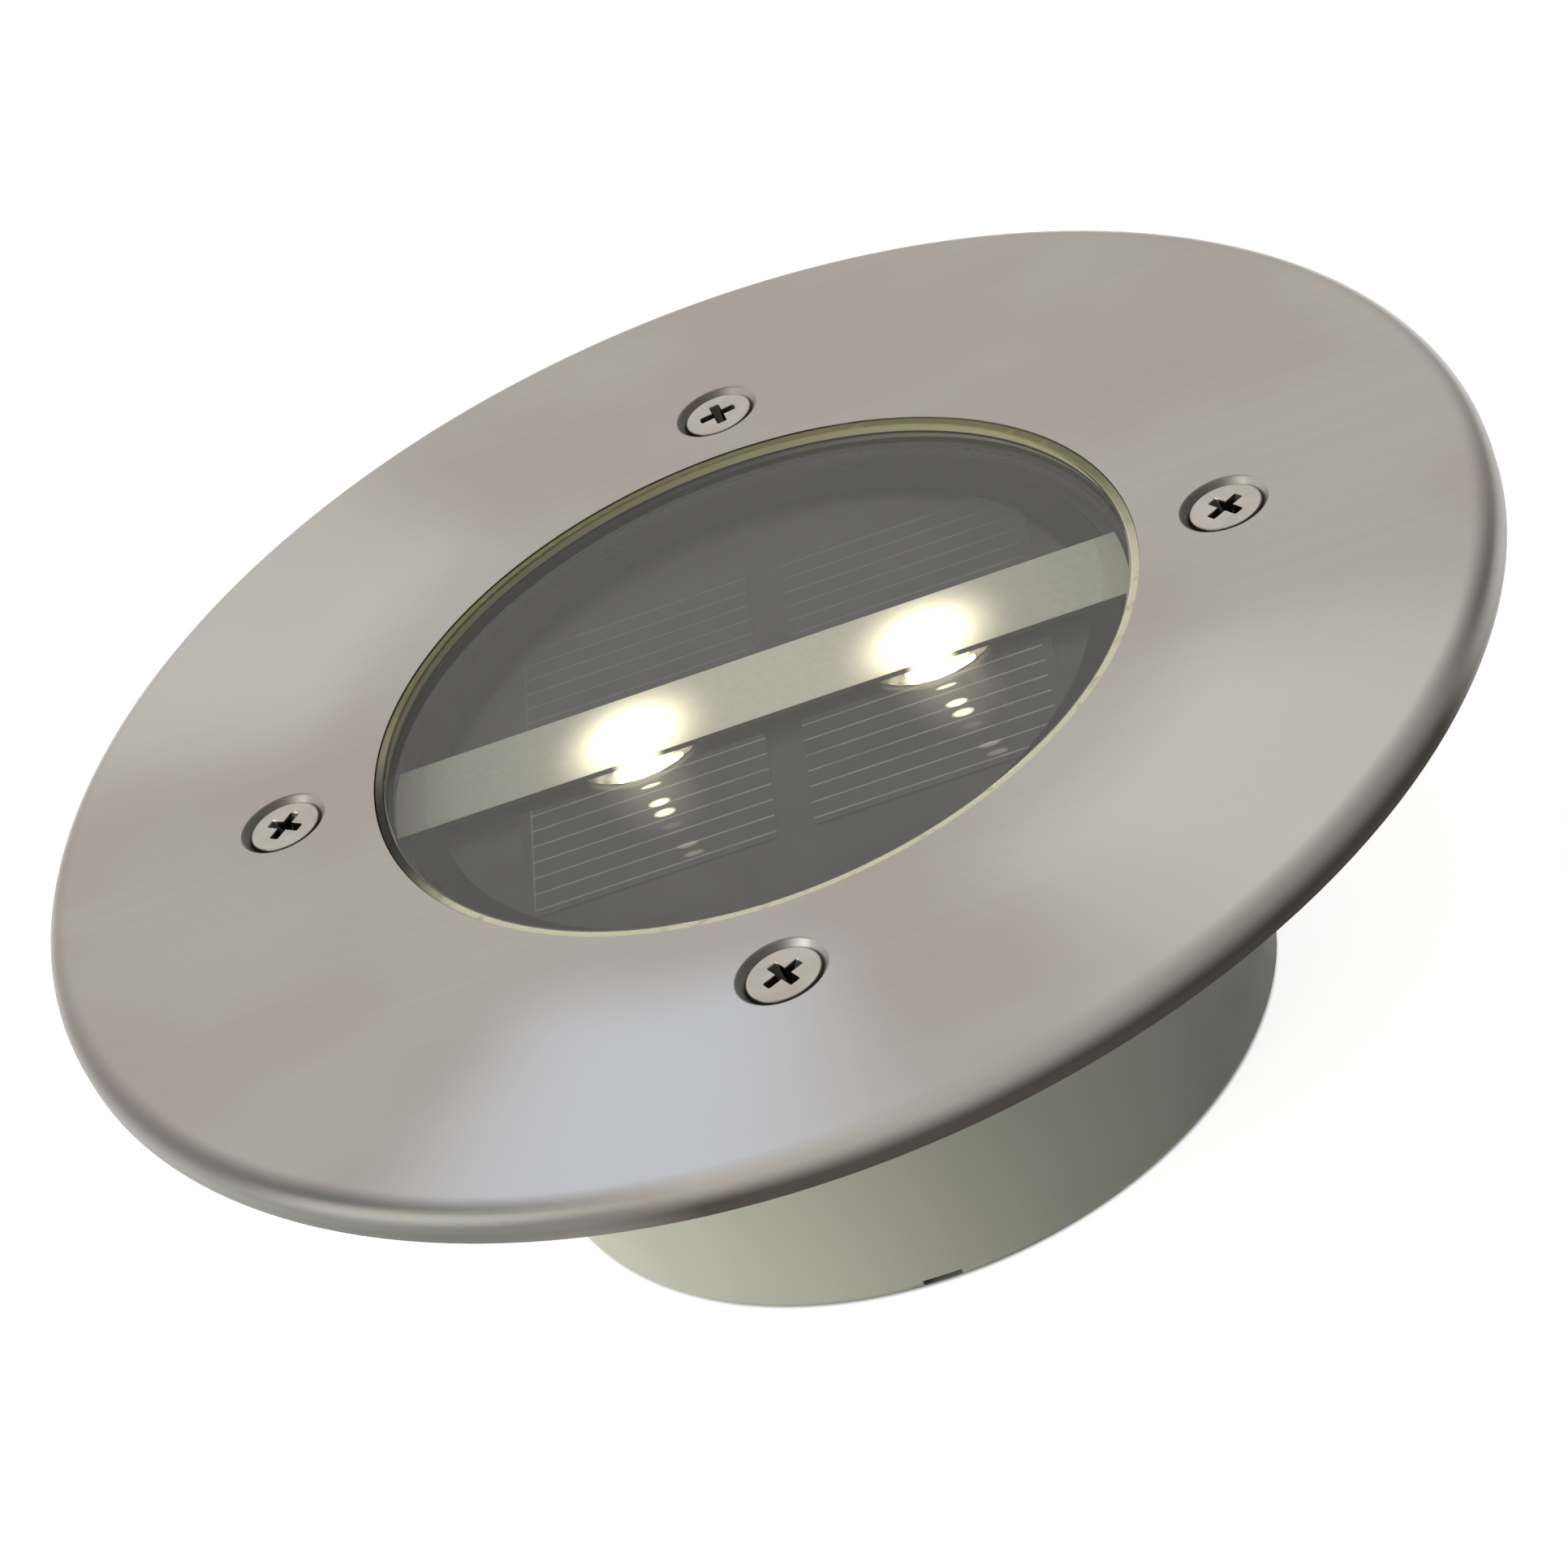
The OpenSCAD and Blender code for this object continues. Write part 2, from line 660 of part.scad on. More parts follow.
// Two screws that hold the circuit board
module board_screws() {
    color("silver") for (side = [-1, 1]) translate([0, side * pcb_screw_pitch / 2, pcb_z])
        pan_screw(pcb_screw_d, pcb_screw_l, pcb_screw_head_d, pcb_screw_head_h);
}

// Charging and lamp control chip, with its legs
module driver_chip() {
    color("black") translate([chip_pos[0], chip_pos[1], pcb_top_z]) {
        translate([-chip_size[0] / 2, -chip_size[1] / 2, 0]) cube(chip_size);
        for (side = [0, 1], i = [0 : chip_legs - 1])
            mirror([0, side, 0]) translate([
                (i - (chip_legs - 1) / 2) * chip_leg_pitch - chip_leg_size[0] / 2,
                chip_size[1] / 2 - join, 0]) cube(chip_leg_size);
    }
}

// Wound choke of the lamp driver
module inductor() {
    color("saddlebrown") translate([inductor_pos[0], inductor_pos[1], pcb_top_z]) {
        cylinder(d = inductor_d, h = inductor_rim_h, $fn = 32);
        cylinder(d = inductor_waist_d, h = inductor_h, $fn = 32);
        translate([0, 0, inductor_h - inductor_rim_h])
            cylinder(d = inductor_d, h = inductor_rim_h, $fn = 32);
    }
}

// Smoothing capacitor
module capacitor() {
    color("navy") translate([capacitor_pos[0], capacitor_pos[1], pcb_top_z])
        cylinder(d = capacitor_d, h = capacitor_h, $fn = 32);
}

// Chip resistors in a row
module resistors() {
    color("black") for (i = [0 : resistor_count - 1])
        translate([resistor_pos[0] + (i - (resistor_count - 1) / 2) * resistor_pitch
            - resistor_size[0] / 2, resistor_pos[1], pcb_top_z]) cube(resistor_size);
}

// Wire from the solar board to the circuit board, on one side
module panel_wire(side) {
    translate([panel_wire_x, side * panel_wire_y, pcb_top_z])
        cylinder(d = wire_d, h = board_z - pcb_top_z, $fn = 24);
}

module panel_wire_red() {
    color("red") panel_wire(1);
}

module panel_wire_black() {
    color("black") panel_wire(-1);
}

// White holder, open below, with ears for its screws and a shelf for the switch
module battery_holder() {
    ear_z = holder_top_z - holder_roof;
    shelf_end = switch_y + switch_w / 2;
    color("gainsboro") difference() {
        union() {
            translate([-holder_l / 2, -holder_w / 2, holder_z])
                cube([holder_l, holder_w, holder_top_z - holder_z]);
            for (side = [-1, 1]) {
                translate([0, side * holder_screw_pitch / 2, ear_z])
                    cylinder(r = holder_ear_r, h = holder_roof, $fn = 48);
                translate([-holder_ear_r, side < 0 ? -holder_screw_pitch / 2 : 0, ear_z])
                    cube([2 * holder_ear_r, holder_screw_pitch / 2, holder_roof]);
            }
            translate([-shelf_l / 2, 0, holder_z]) cube([shelf_l, shelf_end, shelf_t]);
        }
        translate([-holder_in_l / 2, -holder_in_w / 2, holder_z - cut])
            cube([holder_in_l, holder_in_w, holder_roof_z - holder_z + cut]);
        for (side = [-1, 1]) {
            translate([0, side * holder_screw_pitch / 2, ear_z - cut])
                cylinder(d = holder_screw_d + pass, h = holder_roof + 2 * cut, $fn = 32);
            translate([side * (holder_in_l - contact_t) / 2 - contact_t / 2 - pass / 2, -tab_w / 2 - pass / 2,
                holder_roof_z - cut]) cube([contact_t + pass, tab_w + pass, holder_roof + 2 * cut]);
        }
        for (i = [-1 : 1]) translate([i * switch_pin_pitch, switch_y, holder_z - cut])
            cylinder(d = switch_pin_d + 2 * fit, h = shelf_t + 2 * cut, $fn = 24);
    }
}

// Two screws that hold the battery holder to the carrier's posts
module holder_screws() {
    color("silver") for (side = [-1, 1])
        translate([0, side * holder_screw_pitch / 2, holder_roof_z])
            pan_screw(holder_screw_d, holder_screw_l, holder_screw_head_d, holder_screw_head_h);
}

// Rechargeable battery in a plain sleeve
module battery() {
    body_l = battery_l - button_h;
    color("seagreen") translate([battery_end_x, 0, battery_z]) rotate([0, 90, 0]) difference() {
        cylinder(d = battery_d, h = body_l, $fn = 64);
        translate([0, 0, body_l - sleeve_t]) cylinder(d = button_d + 2 * sleeve_t, h = sleeve_t + cut, $fn = 48);
    }
}

// Raised contact at the battery's positive end
module battery_button() {
    color("silver") translate([battery_end_x + battery_l - button_h - sleeve_t, 0, battery_z])
        rotate([0, 90, 0]) cylinder(d = button_d, h = button_h + sleeve_t, $fn = 48);
}

// Flat contact with a tab through the holder's roof, against the end wall on one side
module contact(side) {
    x = side < 0 ? -holder_in_l / 2 : holder_in_l / 2 - contact_t;
    translate([x, -contact_w / 2, battery_z - contact_h / 2]) cube([contact_t, contact_w, contact_h]);
    translate([x, -tab_w / 2, battery_z]) cube([contact_t, tab_w, tab_top_z - battery_z]);
}

module contact_plate() {
    color("silver") contact(1);
}

module spring_plate() {
    color("silver") contact(-1);
}

// Point on the spring's centre line, from 0 at the plate to 1 at the battery
function spring_at(u) =
    let (r = ((1 - u) * spring_d + u * spring_tip_d) / 2, a = 360 * spring_turns * u)
    [battery_end_x - spring_l + spring_wire_d / 2 + u * (spring_l - spring_wire_d),
        r * cos(a), battery_z + r * sin(a)];

// Cone-shaped contact spring: one tube along the helix
module contact_spring() {
    rings = spring_rings * spring_turns;
    color("silver")
        tube([for (i = [0 : rings]) spring_at(i / rings)], spring_wire_d, [1, 0, 0], spring_sides);
}

// Wire from a contact's tab to the underside of the circuit board, on one side
module battery_wire(side) {
    end_x = side * (pcb_l / 2 - wire_d);
    tab_x = side * (holder_in_l / 2 - contact_t);
    wire([[tab_x, 0, battery_wire_z], [end_x, 0, battery_wire_z], [end_x, 0, pcb_z]], [0, 1, 0]);
}

module battery_wire_red() {
    color("red") battery_wire(1);
}

module battery_wire_black() {
    color("black") battery_wire(-1);
}

// Slide switch, its slot facing down
module switch_body() {
    color("dimgray") difference() {
        translate([-switch_l / 2, switch_y - switch_w / 2, switch_z]) cube([switch_l, switch_w, switch_h]);
        translate([-slot_l / 2, switch_y - knob_w / 2 - fit, switch_z - cut])
            cube([slot_l, knob_w + 2 * fit, switch_slot_h + cut]);
    }
}

// Three solder pins of the switch, up through the shelf
module switch_pins() {
    color("silver") for (i = [-1 : 1]) translate([i * switch_pin_pitch, switch_y, switch_top_z])
        cylinder(d = switch_pin_d, h = shelf_t + switch_pin_h, $fn = 24);
}

// Two wires from the switch's outer pins to the underside of the circuit board
module switch_wires() {
    pin_top = switch_top_z + shelf_t + switch_pin_h;
    board_y = pcb_w / 2 - switch_wire_in;
    color("darkorange") for (side = [-1, 1]) translate([side * switch_pin_pitch, 0, 0]) wire([
        [0, switch_y, pin_top],
        [0, switch_y, battery_wire_z],
        [0, board_y, battery_wire_z],
        [0, board_y, pcb_z]], [1, 0, 0]);
}

// Knob of the slide switch, through the slot in the cup's floor, in the ON place
module switch_knob() {
    color("black") difference() {
        translate([knob_x - knob_l / 2, switch_y - knob_w / 2, knob_tip])
            cube([knob_l, knob_w, knob_top_z - knob_tip]);
        for (i = [0 : knob_grooves - 1])
            translate([knob_x + (i - (knob_grooves - 1) / 2) * knob_l / knob_grooves - knob_groove_w / 2,
                switch_y - knob_w / 2 - cut, knob_tip - cut])
                cube([knob_groove_w, knob_w + 2 * cut, knob_groove_h + cut]);
    }
}

// Flat black gasket between the window's flange and the cup's seat
module flange_gasket() {
    color("black") translate([0, 0, seat_z])
        ring(2 * (gasket_in_r + gasket_w), 2 * gasket_in_r, gasket_t);
}

// Moulded cup: flange with four bosses, seat for the gasket, floor with the switch's slot, and a
// short skirt with a notch
module cup() {
    color("beige") difference() {
        union() {
            translate([0, 0, seat_z]) mirror([0, 0, 1]) rotate_extrude($fn = 192)
                rounded_section(cup_r, seat_z, cup_edge_r);
            translate([0, 0, seat_under_z - shoulder_h])
                cylinder(r1 = cup_r, r2 = riser_r, h = shoulder_h, $fn = 128);
            translate([0, 0, seat_under_z]) cylinder(r = riser_r, h = plate_under_z - seat_under_z, $fn = 128);
            translate([0, 0, plate_under_z - flange_t]) cylinder(d = flange_d, h = flange_t, $fn = 128);
            at_screws() translate([0, 0, boss_z]) cylinder(d = boss_d, h = boss_h, $fn = 48);
            for (i = [0 : screw_count - 1])
                rotate(i * 360 / screw_count) translate([cup_in_r, -rib_t / 2, boss_z])
                    cube([screw_circle_r - cup_in_r, rib_t, boss_h]);
        }
        translate([0, 0, floor_z]) cylinder(r = cup_in_r, h = light_h, $fn = 128);
        translate([0, 0, seat_z]) cylinder(r = recess_r, h = light_h, $fn = 128);
        translate([0, 0, -cut]) cylinder(r = cup_in_r, h = skirt_h + cut, $fn = 128);
        at_screws() {
            translate([0, 0, boss_top_z]) cylinder(d = dimple_room_d, h = light_h, $fn = 48);
            translate([0, 0, boss_z + boss_bore_end])
                cylinder(d = screw_d + 2 * fit, h = boss_h, $fn = 48);
        }
        translate([-slot_l / 2, switch_y - slot_w / 2, 0]) cube([slot_l, slot_w, floor_z + cut]);
        translate([-notch_w / 2, -cup_r - cut, -cut]) cube([notch_w, 2 * cup_wall, notch_h + cut]);
    }
}

cover_plate();
cover_screws();
window_seal();
window();
light_bar();
lamp_collars();
lamps();
lamp_leads();
solar_cells();
solar_board();
panel_retainer();
carrier();
circuit_board();
board_screws();
driver_chip();
inductor();
capacitor();
resistors();
panel_wire_red();
panel_wire_black();
battery_holder();
holder_screws();
battery();
battery_button();
contact_plate();
spring_plate();
contact_spring();
battery_wire_red();
battery_wire_black();
switch_body();
switch_pins();
switch_wires();
switch_knob();
flange_gasket();
cup();
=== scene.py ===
"""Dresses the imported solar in-ground light: each visible piece is modelled finely around the CAD frame."""

import math
from collections import namedtuple
from contextlib import contextmanager

import bmesh
import bpy
from bpy.props import FloatProperty, FloatVectorProperty, IntProperty, PointerProperty
from mathutils import Matrix, Vector


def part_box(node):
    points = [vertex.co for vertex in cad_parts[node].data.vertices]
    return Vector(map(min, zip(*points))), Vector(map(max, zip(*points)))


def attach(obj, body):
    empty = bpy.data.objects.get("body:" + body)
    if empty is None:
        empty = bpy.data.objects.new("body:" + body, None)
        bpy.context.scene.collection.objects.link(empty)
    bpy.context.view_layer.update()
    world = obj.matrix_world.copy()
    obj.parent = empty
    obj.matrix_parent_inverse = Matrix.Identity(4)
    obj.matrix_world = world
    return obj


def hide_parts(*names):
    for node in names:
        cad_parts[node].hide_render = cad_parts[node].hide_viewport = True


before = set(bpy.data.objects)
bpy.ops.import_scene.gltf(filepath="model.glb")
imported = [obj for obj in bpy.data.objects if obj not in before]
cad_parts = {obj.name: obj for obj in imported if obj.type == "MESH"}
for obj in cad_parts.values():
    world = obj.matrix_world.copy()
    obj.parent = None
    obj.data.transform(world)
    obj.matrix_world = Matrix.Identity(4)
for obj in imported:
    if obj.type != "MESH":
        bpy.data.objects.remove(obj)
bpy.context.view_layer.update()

bl_info = {
    "name": "Solar in-ground light",
    "version": (1, 0, 0),
    "blender": (4, 5, 0),
    "location": "3D View > Sidebar > In-ground light",
    "description": "Models and finishes the pieces of a round solar in-ground light",
    "category": "Object",
}

MM = 0.001
SWEEP = 192  # segments round the large turned pieces
SMALL_SWEEP = 64  # segments round the small turned pieces

plate_low, plate_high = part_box("cover_plate")
screws_low, screws_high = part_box("cover_screws")
seal_low, seal_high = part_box("window_seal")
window_low, window_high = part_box("window")
bar_low, bar_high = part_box("light_bar")
collars_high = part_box("lamp_collars")[1]
lamps_low, lamps_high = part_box("lamps")
cells_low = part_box("solar_cells")[0]


def srgb(hex_colour):
    """An sRGB hex colour as linear red, green, blue and alpha."""
    parts = [int(hex_colour[i:i + 2], 16) / 255 for i in (1, 3, 5)]
    return [c / 12.92 if c <= 0.04045 else ((c + 0.055) / 1.055) ** 2.4 for c in parts] + [1.0]


def length(name, text, default):
    """A length property in metres."""
    return FloatProperty(
        name=name, description=text, default=default, min=0, subtype="DISTANCE", unit="LENGTH")


def colour(name, text, hex_colour):
    """A colour property."""
    return FloatVectorProperty(
        name=name, description=text, default=srgb(hex_colour), size=4, min=0, max=1, subtype="COLOR")


class LightSizes(bpy.types.PropertyGroup):
    """Sizes of the pieces that are modelled here; the defaults fit the CAD frame."""
    plate_radius: length("Plate radius", "Outer radius of the cover plate", plate_high.x)
    sheet: length("Sheet", "Thickness of the steel sheet", 1 * MM)
    edge_radius: length("Edge radius", "Radius of the rolled edge", 1.8 * MM)
    opening_radius: length("Opening", "Radius of the plate's opening", 31.85 * MM)
    off_right: length("Off to the right", "How far the opening lies to the right of the middle", 0.35 * MM)
    off_back: length("Off to the back", "How far the opening lies behind the middle", 0.25 * MM)
    screw_circle: length("Screw circle", "Radius of the circle of the cover screws", 39.3 * MM)
    dimple_radius: length("Dimple", "Radius of a pressed countersink", 3.65 * MM)
    screw_radius: length("Screw radius", "Radius of a cover screw's thread", 1.5 * MM)
    head_radius: length("Head radius", "Radius of a cover screw's head", 3 * MM)
    window_radius: length("Window radius", "Radius of the window's raised middle", 31.2 * MM)
    window_thickness: length("Window thickness", "Thickness of the raised middle", 2.2 * MM)
    window_ring: length("Window ring", "Inner radius of the ring under the window", 28.5 * MM)
    lamp_spacing: length("Lamp spacing", "Half the distance between the lamps", 12.2 * MM)
    lamp_shift: length("Lamp shift", "The lamps' middle lies this far to the right", 1.9 * MM)
    lamp_radius: length("Lamp radius", "Radius of a lamp's body", 2.5 * MM)
    collar_radius: length("Collar", "Radius of a collar over its ribs", 5.9 * MM)
    collar_back: length("Collar to the back", "How far a collar's middle lies behind its lamp's", 0.7 * MM)
    collar_height: length("Collar height", "Height of a collar", 0.5 * MM)
    bosses: IntProperty(name="Screws", description="Number of cover screws and bosses", default=4, min=2)


class LightColours(bpy.types.PropertyGroup):
    """Colours of the finishes."""
    steel: colour("Steel", "Brushed stainless steel of the plate", "#CEC9C3")
    steel_warm: colour("Steel shade", "Warmer tone in the steel's clouding", "#C8C0BA")
    # Painted reflections on the brushed steel
    painted_pale_ray: colour("Pale ray", "Pale soft rays on the brushed steel", "#E8E5DF")
    painted_cool_ray: colour("Cool ray", "Cool soft ray on the brushed steel", "#E6EAF2")
    # Painted shade on the near side of the rolled edge
    rim_painted_shade: colour("Steel rim", "Duller tone where the edge is rolled", "#686A67")
    # Painted brown shade on the rim over the cup
    rim_over_cup_painted_shade: colour("Rim in shade", "Brown tone of the rim over the cup", "#59524A")
    plating: colour("Plating", "Nickel plating of the cover screws", "#DCD6CE")
    seal: colour("Seal", "Cream silicone of the seal", "#E6E2CA")
    # Painted shade on the seal's far side
    seal_painted_shade: colour("Seal, far side", "Tone of the seal where little light reaches it", "#7C7858")
    bar: colour("Bar", "Frosted pale bar", "#B4B6AA")
    # The lamps' light, and also the colour of the painted glow on the bar and the collars
    glow: colour("Glow", "Warm white light of the lamps", "#FFF1D0")
    cell: colour("Cell", "Silicon of the solar cells", "#38393A")
    board: colour("Board", "Board under the cells", "#353634")
    finger: colour("Finger", "Silver lines on the cells", "#A0A5AA")
    cup: colour("Cup", "Off-white plastic of the cup", "#CACCBC")
    black: colour("Black", "Black moulded plastic", "#1E1F20")


# Modelling helpers

def pick(piece):
    """Selects one object alone and makes it active."""
    bpy.ops.object.select_all(action="DESELECT")
    piece.select_set(True)
    bpy.context.view_layer.objects.active = piece


@contextmanager
def editing(piece):
    """Edit mode on one piece, with nothing selected."""
    pick(piece)
    bpy.ops.object.mode_set(mode="EDIT")
    bpy.ops.mesh.select_mode(type="VERT")
    bpy.ops.mesh.select_all(action="DESELECT")
    yield
    bpy.ops.object.mode_set(mode="OBJECT")


def select_where(piece, test, kind="verts"):
    """Selects the vertices, edges or faces that pass a test, in edit mode."""
    mesh = bmesh.from_edit_mesh(piece.data)
    bpy.ops.mesh.select_all(action="DESELECT")
    chosen = [item for item in getattr(mesh, kind) if test(item)]
    for item in chosen:
        item.select_set(True)
    mesh.select_flush_mode()
    bmesh.update_edit_mesh(piece.data)
    return len(chosen)


def settle(piece, name):
    """Names a new primitive and moves its place into its mesh."""
    piece.name = name
    piece.data.name = name
    bpy.ops.object.transform_apply(location=True, rotation=True, scale=True)
    return piece


def circle(name, radius, height, sides, centre=(0, 0), fill="NOTHING"):
    """A flat circle as a new piece."""
    bpy.ops.object.select_all(action="DESELECT")
    bpy.ops.mesh.primitive_circle_add(
        vertices=sides, radius=radius, fill_type=fill, location=(centre[0], centre[1], height))
    return settle(bpy.context.object, name)


def draw_out(profile, centre=(0, 0)):
    """In edit mode, extrudes the selected loop from the profile's first point to each next one."""
    for (r0, z0), (r1, z1) in zip(profile, profile[1:]):
        bpy.ops.mesh.extrude_edges_move(TRANSFORM_OT_translate={"value": (0, 0, z1 - z0)})
        if r1 != r0:
            bpy.ops.transform.resize(value=(r1 / r0, r1 / r0, 1), center_override=(centre[0], centre[1], 0))


def turned(name, profile, sides=SWEEP, centre=(0, 0), ring=False):
    """A turned piece from (radius, height) points: capped at both ends, or closed to a ring."""
    piece = circle(name, profile[0][0], profile[0][1], sides, centre)
    with editing(piece):
        bpy.ops.mesh.select_all(action="SELECT")
        draw_out(profile, centre)
        bpy.ops.mesh.select_all(action="DESELECT")
        bpy.ops.mesh.select_non_manifold()
        if ring:
            bpy.ops.mesh.bridge_edge_loops()
        else:
            bpy.ops.mesh.fill_holes(sides=0)
        bpy.ops.mesh.select_all(action="SELECT")
        bpy.ops.mesh.normals_make_consistent(inside=False)
    return piece


def block(name, low, high):
    """A rectangular block between two corners, as a new piece to shape further."""
    bpy.ops.object.select_all(action="DESELECT")
    middle = (Vector(low) + Vector(high)) / 2
    bpy.ops.mesh.primitive_cube_add(size=1, location=middle, scale=Vector(high) - Vector(low))
    return settle(bpy.context.object, name)


def bar_stock(name, radius, low, high, centre=(0, 0), sides=48):
    """A round bar along Z, as a new piece to shape further."""
    bpy.ops.object.select_all(action="DESELECT")
    bpy.ops.mesh.primitive_cylinder_add(
        vertices=sides, radius=radius, depth=high - low, location=(centre[0], centre[1], (low + high) / 2))
    return settle(bpy.context.object, name)


def machine(piece, tool):
    """Cuts a tool out of a piece, and clears the tool away."""
    pick(piece)
    step = piece.modifiers.new("tool", "BOOLEAN")
    step.operation = "DIFFERENCE"
    step.solver = "EXACT"
    step.object = tool
    bpy.ops.object.modifier_apply(modifier=step.name)
    bpy.data.objects.remove(tool)
    return piece


def cut_off(piece, edge, side):
    """Cuts a piece off square at a place along Y; the side that goes is 1 or -1."""
    with editing(piece):
        bpy.ops.mesh.select_all(action="SELECT")
        bpy.ops.mesh.bisect(plane_co=(0, edge, 0), plane_no=(0, side, 0), clear_outer=True, use_fill=True)


def weld(name, pieces):
    """Joins pieces into one."""
    bpy.ops.object.select_all(action="DESELECT")
    for piece in pieces:
        piece.select_set(True)
    bpy.context.view_layer.objects.active = pieces[0]
    bpy.ops.object.join()
    pieces[0].name = name
    return pieces[0]


def polish(piece, edge=0.0, segments=2, angle=34.0):
    """Rounds the sharp edges, then shades the curved faces smooth and keeps the flat ones flat."""
    pick(piece)
    if edge:
        step = piece.modifiers.new("edges", "BEVEL")
        step.width = edge
        step.segments = segments
        step.limit_method = "ANGLE"
        step.angle_limit = math.radians(angle)
        bpy.ops.object.modifier_apply(modifier=step.name)
    bpy.ops.object.shade_smooth_by_angle(angle=math.radians(angle))
    step = piece.modifiers.new("normals", "WEIGHTED_NORMAL")
    step.keep_sharp = True
    bpy.ops.object.modifier_apply(modifier=step.name)
    return piece


def refined(name, node, edge, segments=2):
    """A finer copy of a CAD node: merged, its flat faces joined, its edges rounded."""
    piece = bpy.data.objects.new(name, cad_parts[node].data.copy())
    bpy.context.scene.collection.objects.link(piece)
    piece.data.name = name
    piece.data.materials.clear()
    with editing(piece):
        bpy.ops.mesh.select_all(action="SELECT")
        bpy.ops.mesh.remove_doubles(threshold=0.001 * MM)
        bpy.ops.mesh.dissolve_limited(angle_limit=math.radians(0.5))
    return polish(piece, edge, segments)


def copy_of(piece, name, turn):
    """A copy with its own mesh, turned about Z."""
    twin = bpy.data.objects.new(name, piece.data.copy())
    bpy.context.scene.collection.objects.link(twin)
    twin.data.name = name
    twin.data.transform(Matrix.Rotation(turn, 4, "Z"))
    return twin


def arc(radius, start, end, steps, centre):
    """Points of an arc from a start to an end angle in degrees, as (radius, height) pairs."""
    return [
        (centre[0] + radius * math.cos(math.radians(a)), centre[1] + radius * math.sin(math.radians(a)))
        for a in (start + (end - start) * i / steps for i in range(steps + 1))]


def tube(name, points, radius):
    """A round tube along a smooth curve through points, closed at both ends."""
    bpy.ops.object.select_all(action="DESELECT")
    bpy.ops.curve.primitive_bezier_curve_add()
    line = bpy.context.object
    line.data.splines.clear()
    spline = line.data.splines.new("NURBS")
    spline.points.add(len(points) - 1)
    for control, point in zip(spline.points, points):
        control.co = (*point, 1)
    spline.use_endpoint_u = True
    spline.order_u = 4
    spline.resolution_u = 6
    line.data.dimensions = "3D"
    line.data.bevel_depth = radius
    line.data.bevel_resolution = 4
    line.data.use_fill_caps = True
    bpy.ops.object.convert(target="MESH")
    piece = settle(bpy.context.object, name)
    with editing(piece):
        bpy.ops.mesh.select_all(action="SELECT")
        bpy.ops.mesh.remove_doubles(threshold=0.001 * MM)
        bpy.ops.mesh.normals_make_consistent(inside=False)
    bpy.ops.object.shade_smooth_by_angle(angle=math.radians(50))
    return piece


def place(piece, body, slot, finish, *nodes):
    """Gives a piece its finish and its body, and hides the CAD nodes that it stands for; the slot is not
    used.
    """
    piece.data.materials.clear()
    piece.data.materials.append(finish)
    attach(piece, body)
    if nodes:
        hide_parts(*nodes)
    return piece


def dressed(body, *pieces):
    """Finer copies of CAD nodes on one body; each has a name, node, edge in mm, segments, slot and finish."""
    for name, node, edge, segments, slot, finish in pieces:
        place(refined(name, node, edge * MM, segments), body, slot, finish, node)


# Finishes

SMOOTH = {"interpolation_type": "SMOOTHSTEP"}
TIMES = {"operation": "MULTIPLY"}
PLUS = {"operation": "ADD"}
MINUS = {"operation": "SUBTRACT"}
TIMES_PLUS = {"operation": "MULTIPLY_ADD"}
LARGER = {"operation": "MAXIMUM"}
BELOW = {"operation": "LESS_THAN"}
ABOVE = {"operation": "GREATER_THAN"}
AWAY = {"operation": "ABSOLUTE"}

Plan = namedtuple("Plan", "x y z radius heading normal")


def add(tree, kind, *sources, inputs=None, **settings):
    """Adds a shader node with its settings; each source is a value, a node or a node's output."""
    node = tree.nodes.new("ShaderNode" + kind)
    for key, value in settings.items():
        setattr(node, key, value)
    for key, source in (*enumerate(sources), *(inputs or {}).items()):
        if isinstance(source, bpy.types.Node):
            # A mix of colours gives its colour at its third output
            source = source.outputs[2 if source.bl_idname == "ShaderNodeMix" else 0]
        if isinstance(source, bpy.types.NodeSocket):
            tree.links.new(source, node.inputs[key])
        else:
            node.inputs[key].default_value = source
    return node


def new_finish(name):
    """An empty material and its node tree."""
    finish = bpy.data.materials.new(name)
    finish.use_nodes = True
    finish.node_tree.nodes.clear()
    return finish, finish.node_tree


def shader(tree, inputs):
    """The Principled shader, linked to the material's output."""
    add(tree, "OutputMaterial", add(tree, "BsdfPrincipled", inputs=inputs))


def plan(tree):
    """Places on a piece: x, y, z, the radius and the heading from the middle on the plan, and the normal."""
    spot = add(tree, "TexCoord")
    apart = add(tree, "SeparateXYZ", spot.outputs["Object"])
    flat = add(tree, "CombineXYZ", apart.outputs["X"], apart.outputs["Y"])
    radius = add(tree, "VectorMath", flat, operation="LENGTH").outputs["Value"]
    heading = add(tree, "VectorMath", flat, operation="NORMALIZE")
    return Plan(*apart.outputs, radius, heading, spot.outputs["Normal"])


def pattern(tree, size, detail=3.0, roughness=0.5, turn=0.0):
    """Noise on object coordinates; size is that of its features in mm, or three sizes along X, Y and Z."""
    sizes = size if isinstance(size, tuple) else (size, size, size)
    spot = add(tree, "TexCoord")
    mapped = add(tree, "Mapping", inputs={
        "Vector": spot.outputs["Object"], "Scale": [1 / (s * MM) for s in sizes], "Rotation": (0, 0, turn)})
    return add(tree, "TexNoise", inputs={
        "Vector": mapped, "Scale": 1.0, "Detail": detail, "Roughness": roughness})


def darker(base, share):
    """A share of a colour's light."""
    return [c * share for c in base[:3]] + [1]


def painted(tree, tone, paint, *masks):
    """A tone with paint over it where all of the masks are one."""
    mask = masks[0]
    for other in masks[1:]:
        mask = add(tree, "Math", mask, other, **TIMES)
    return add(tree, "Mix", inputs={0: mask, 6: tone, 7: paint}, data_type="RGBA")


def clouded(tree, noise, first, second, low=0.3, high=0.7):
    """One colour that clouds over into a second one where a noise is high."""
    return painted(tree, first, second, add(tree, "MapRange", noise, low, high))


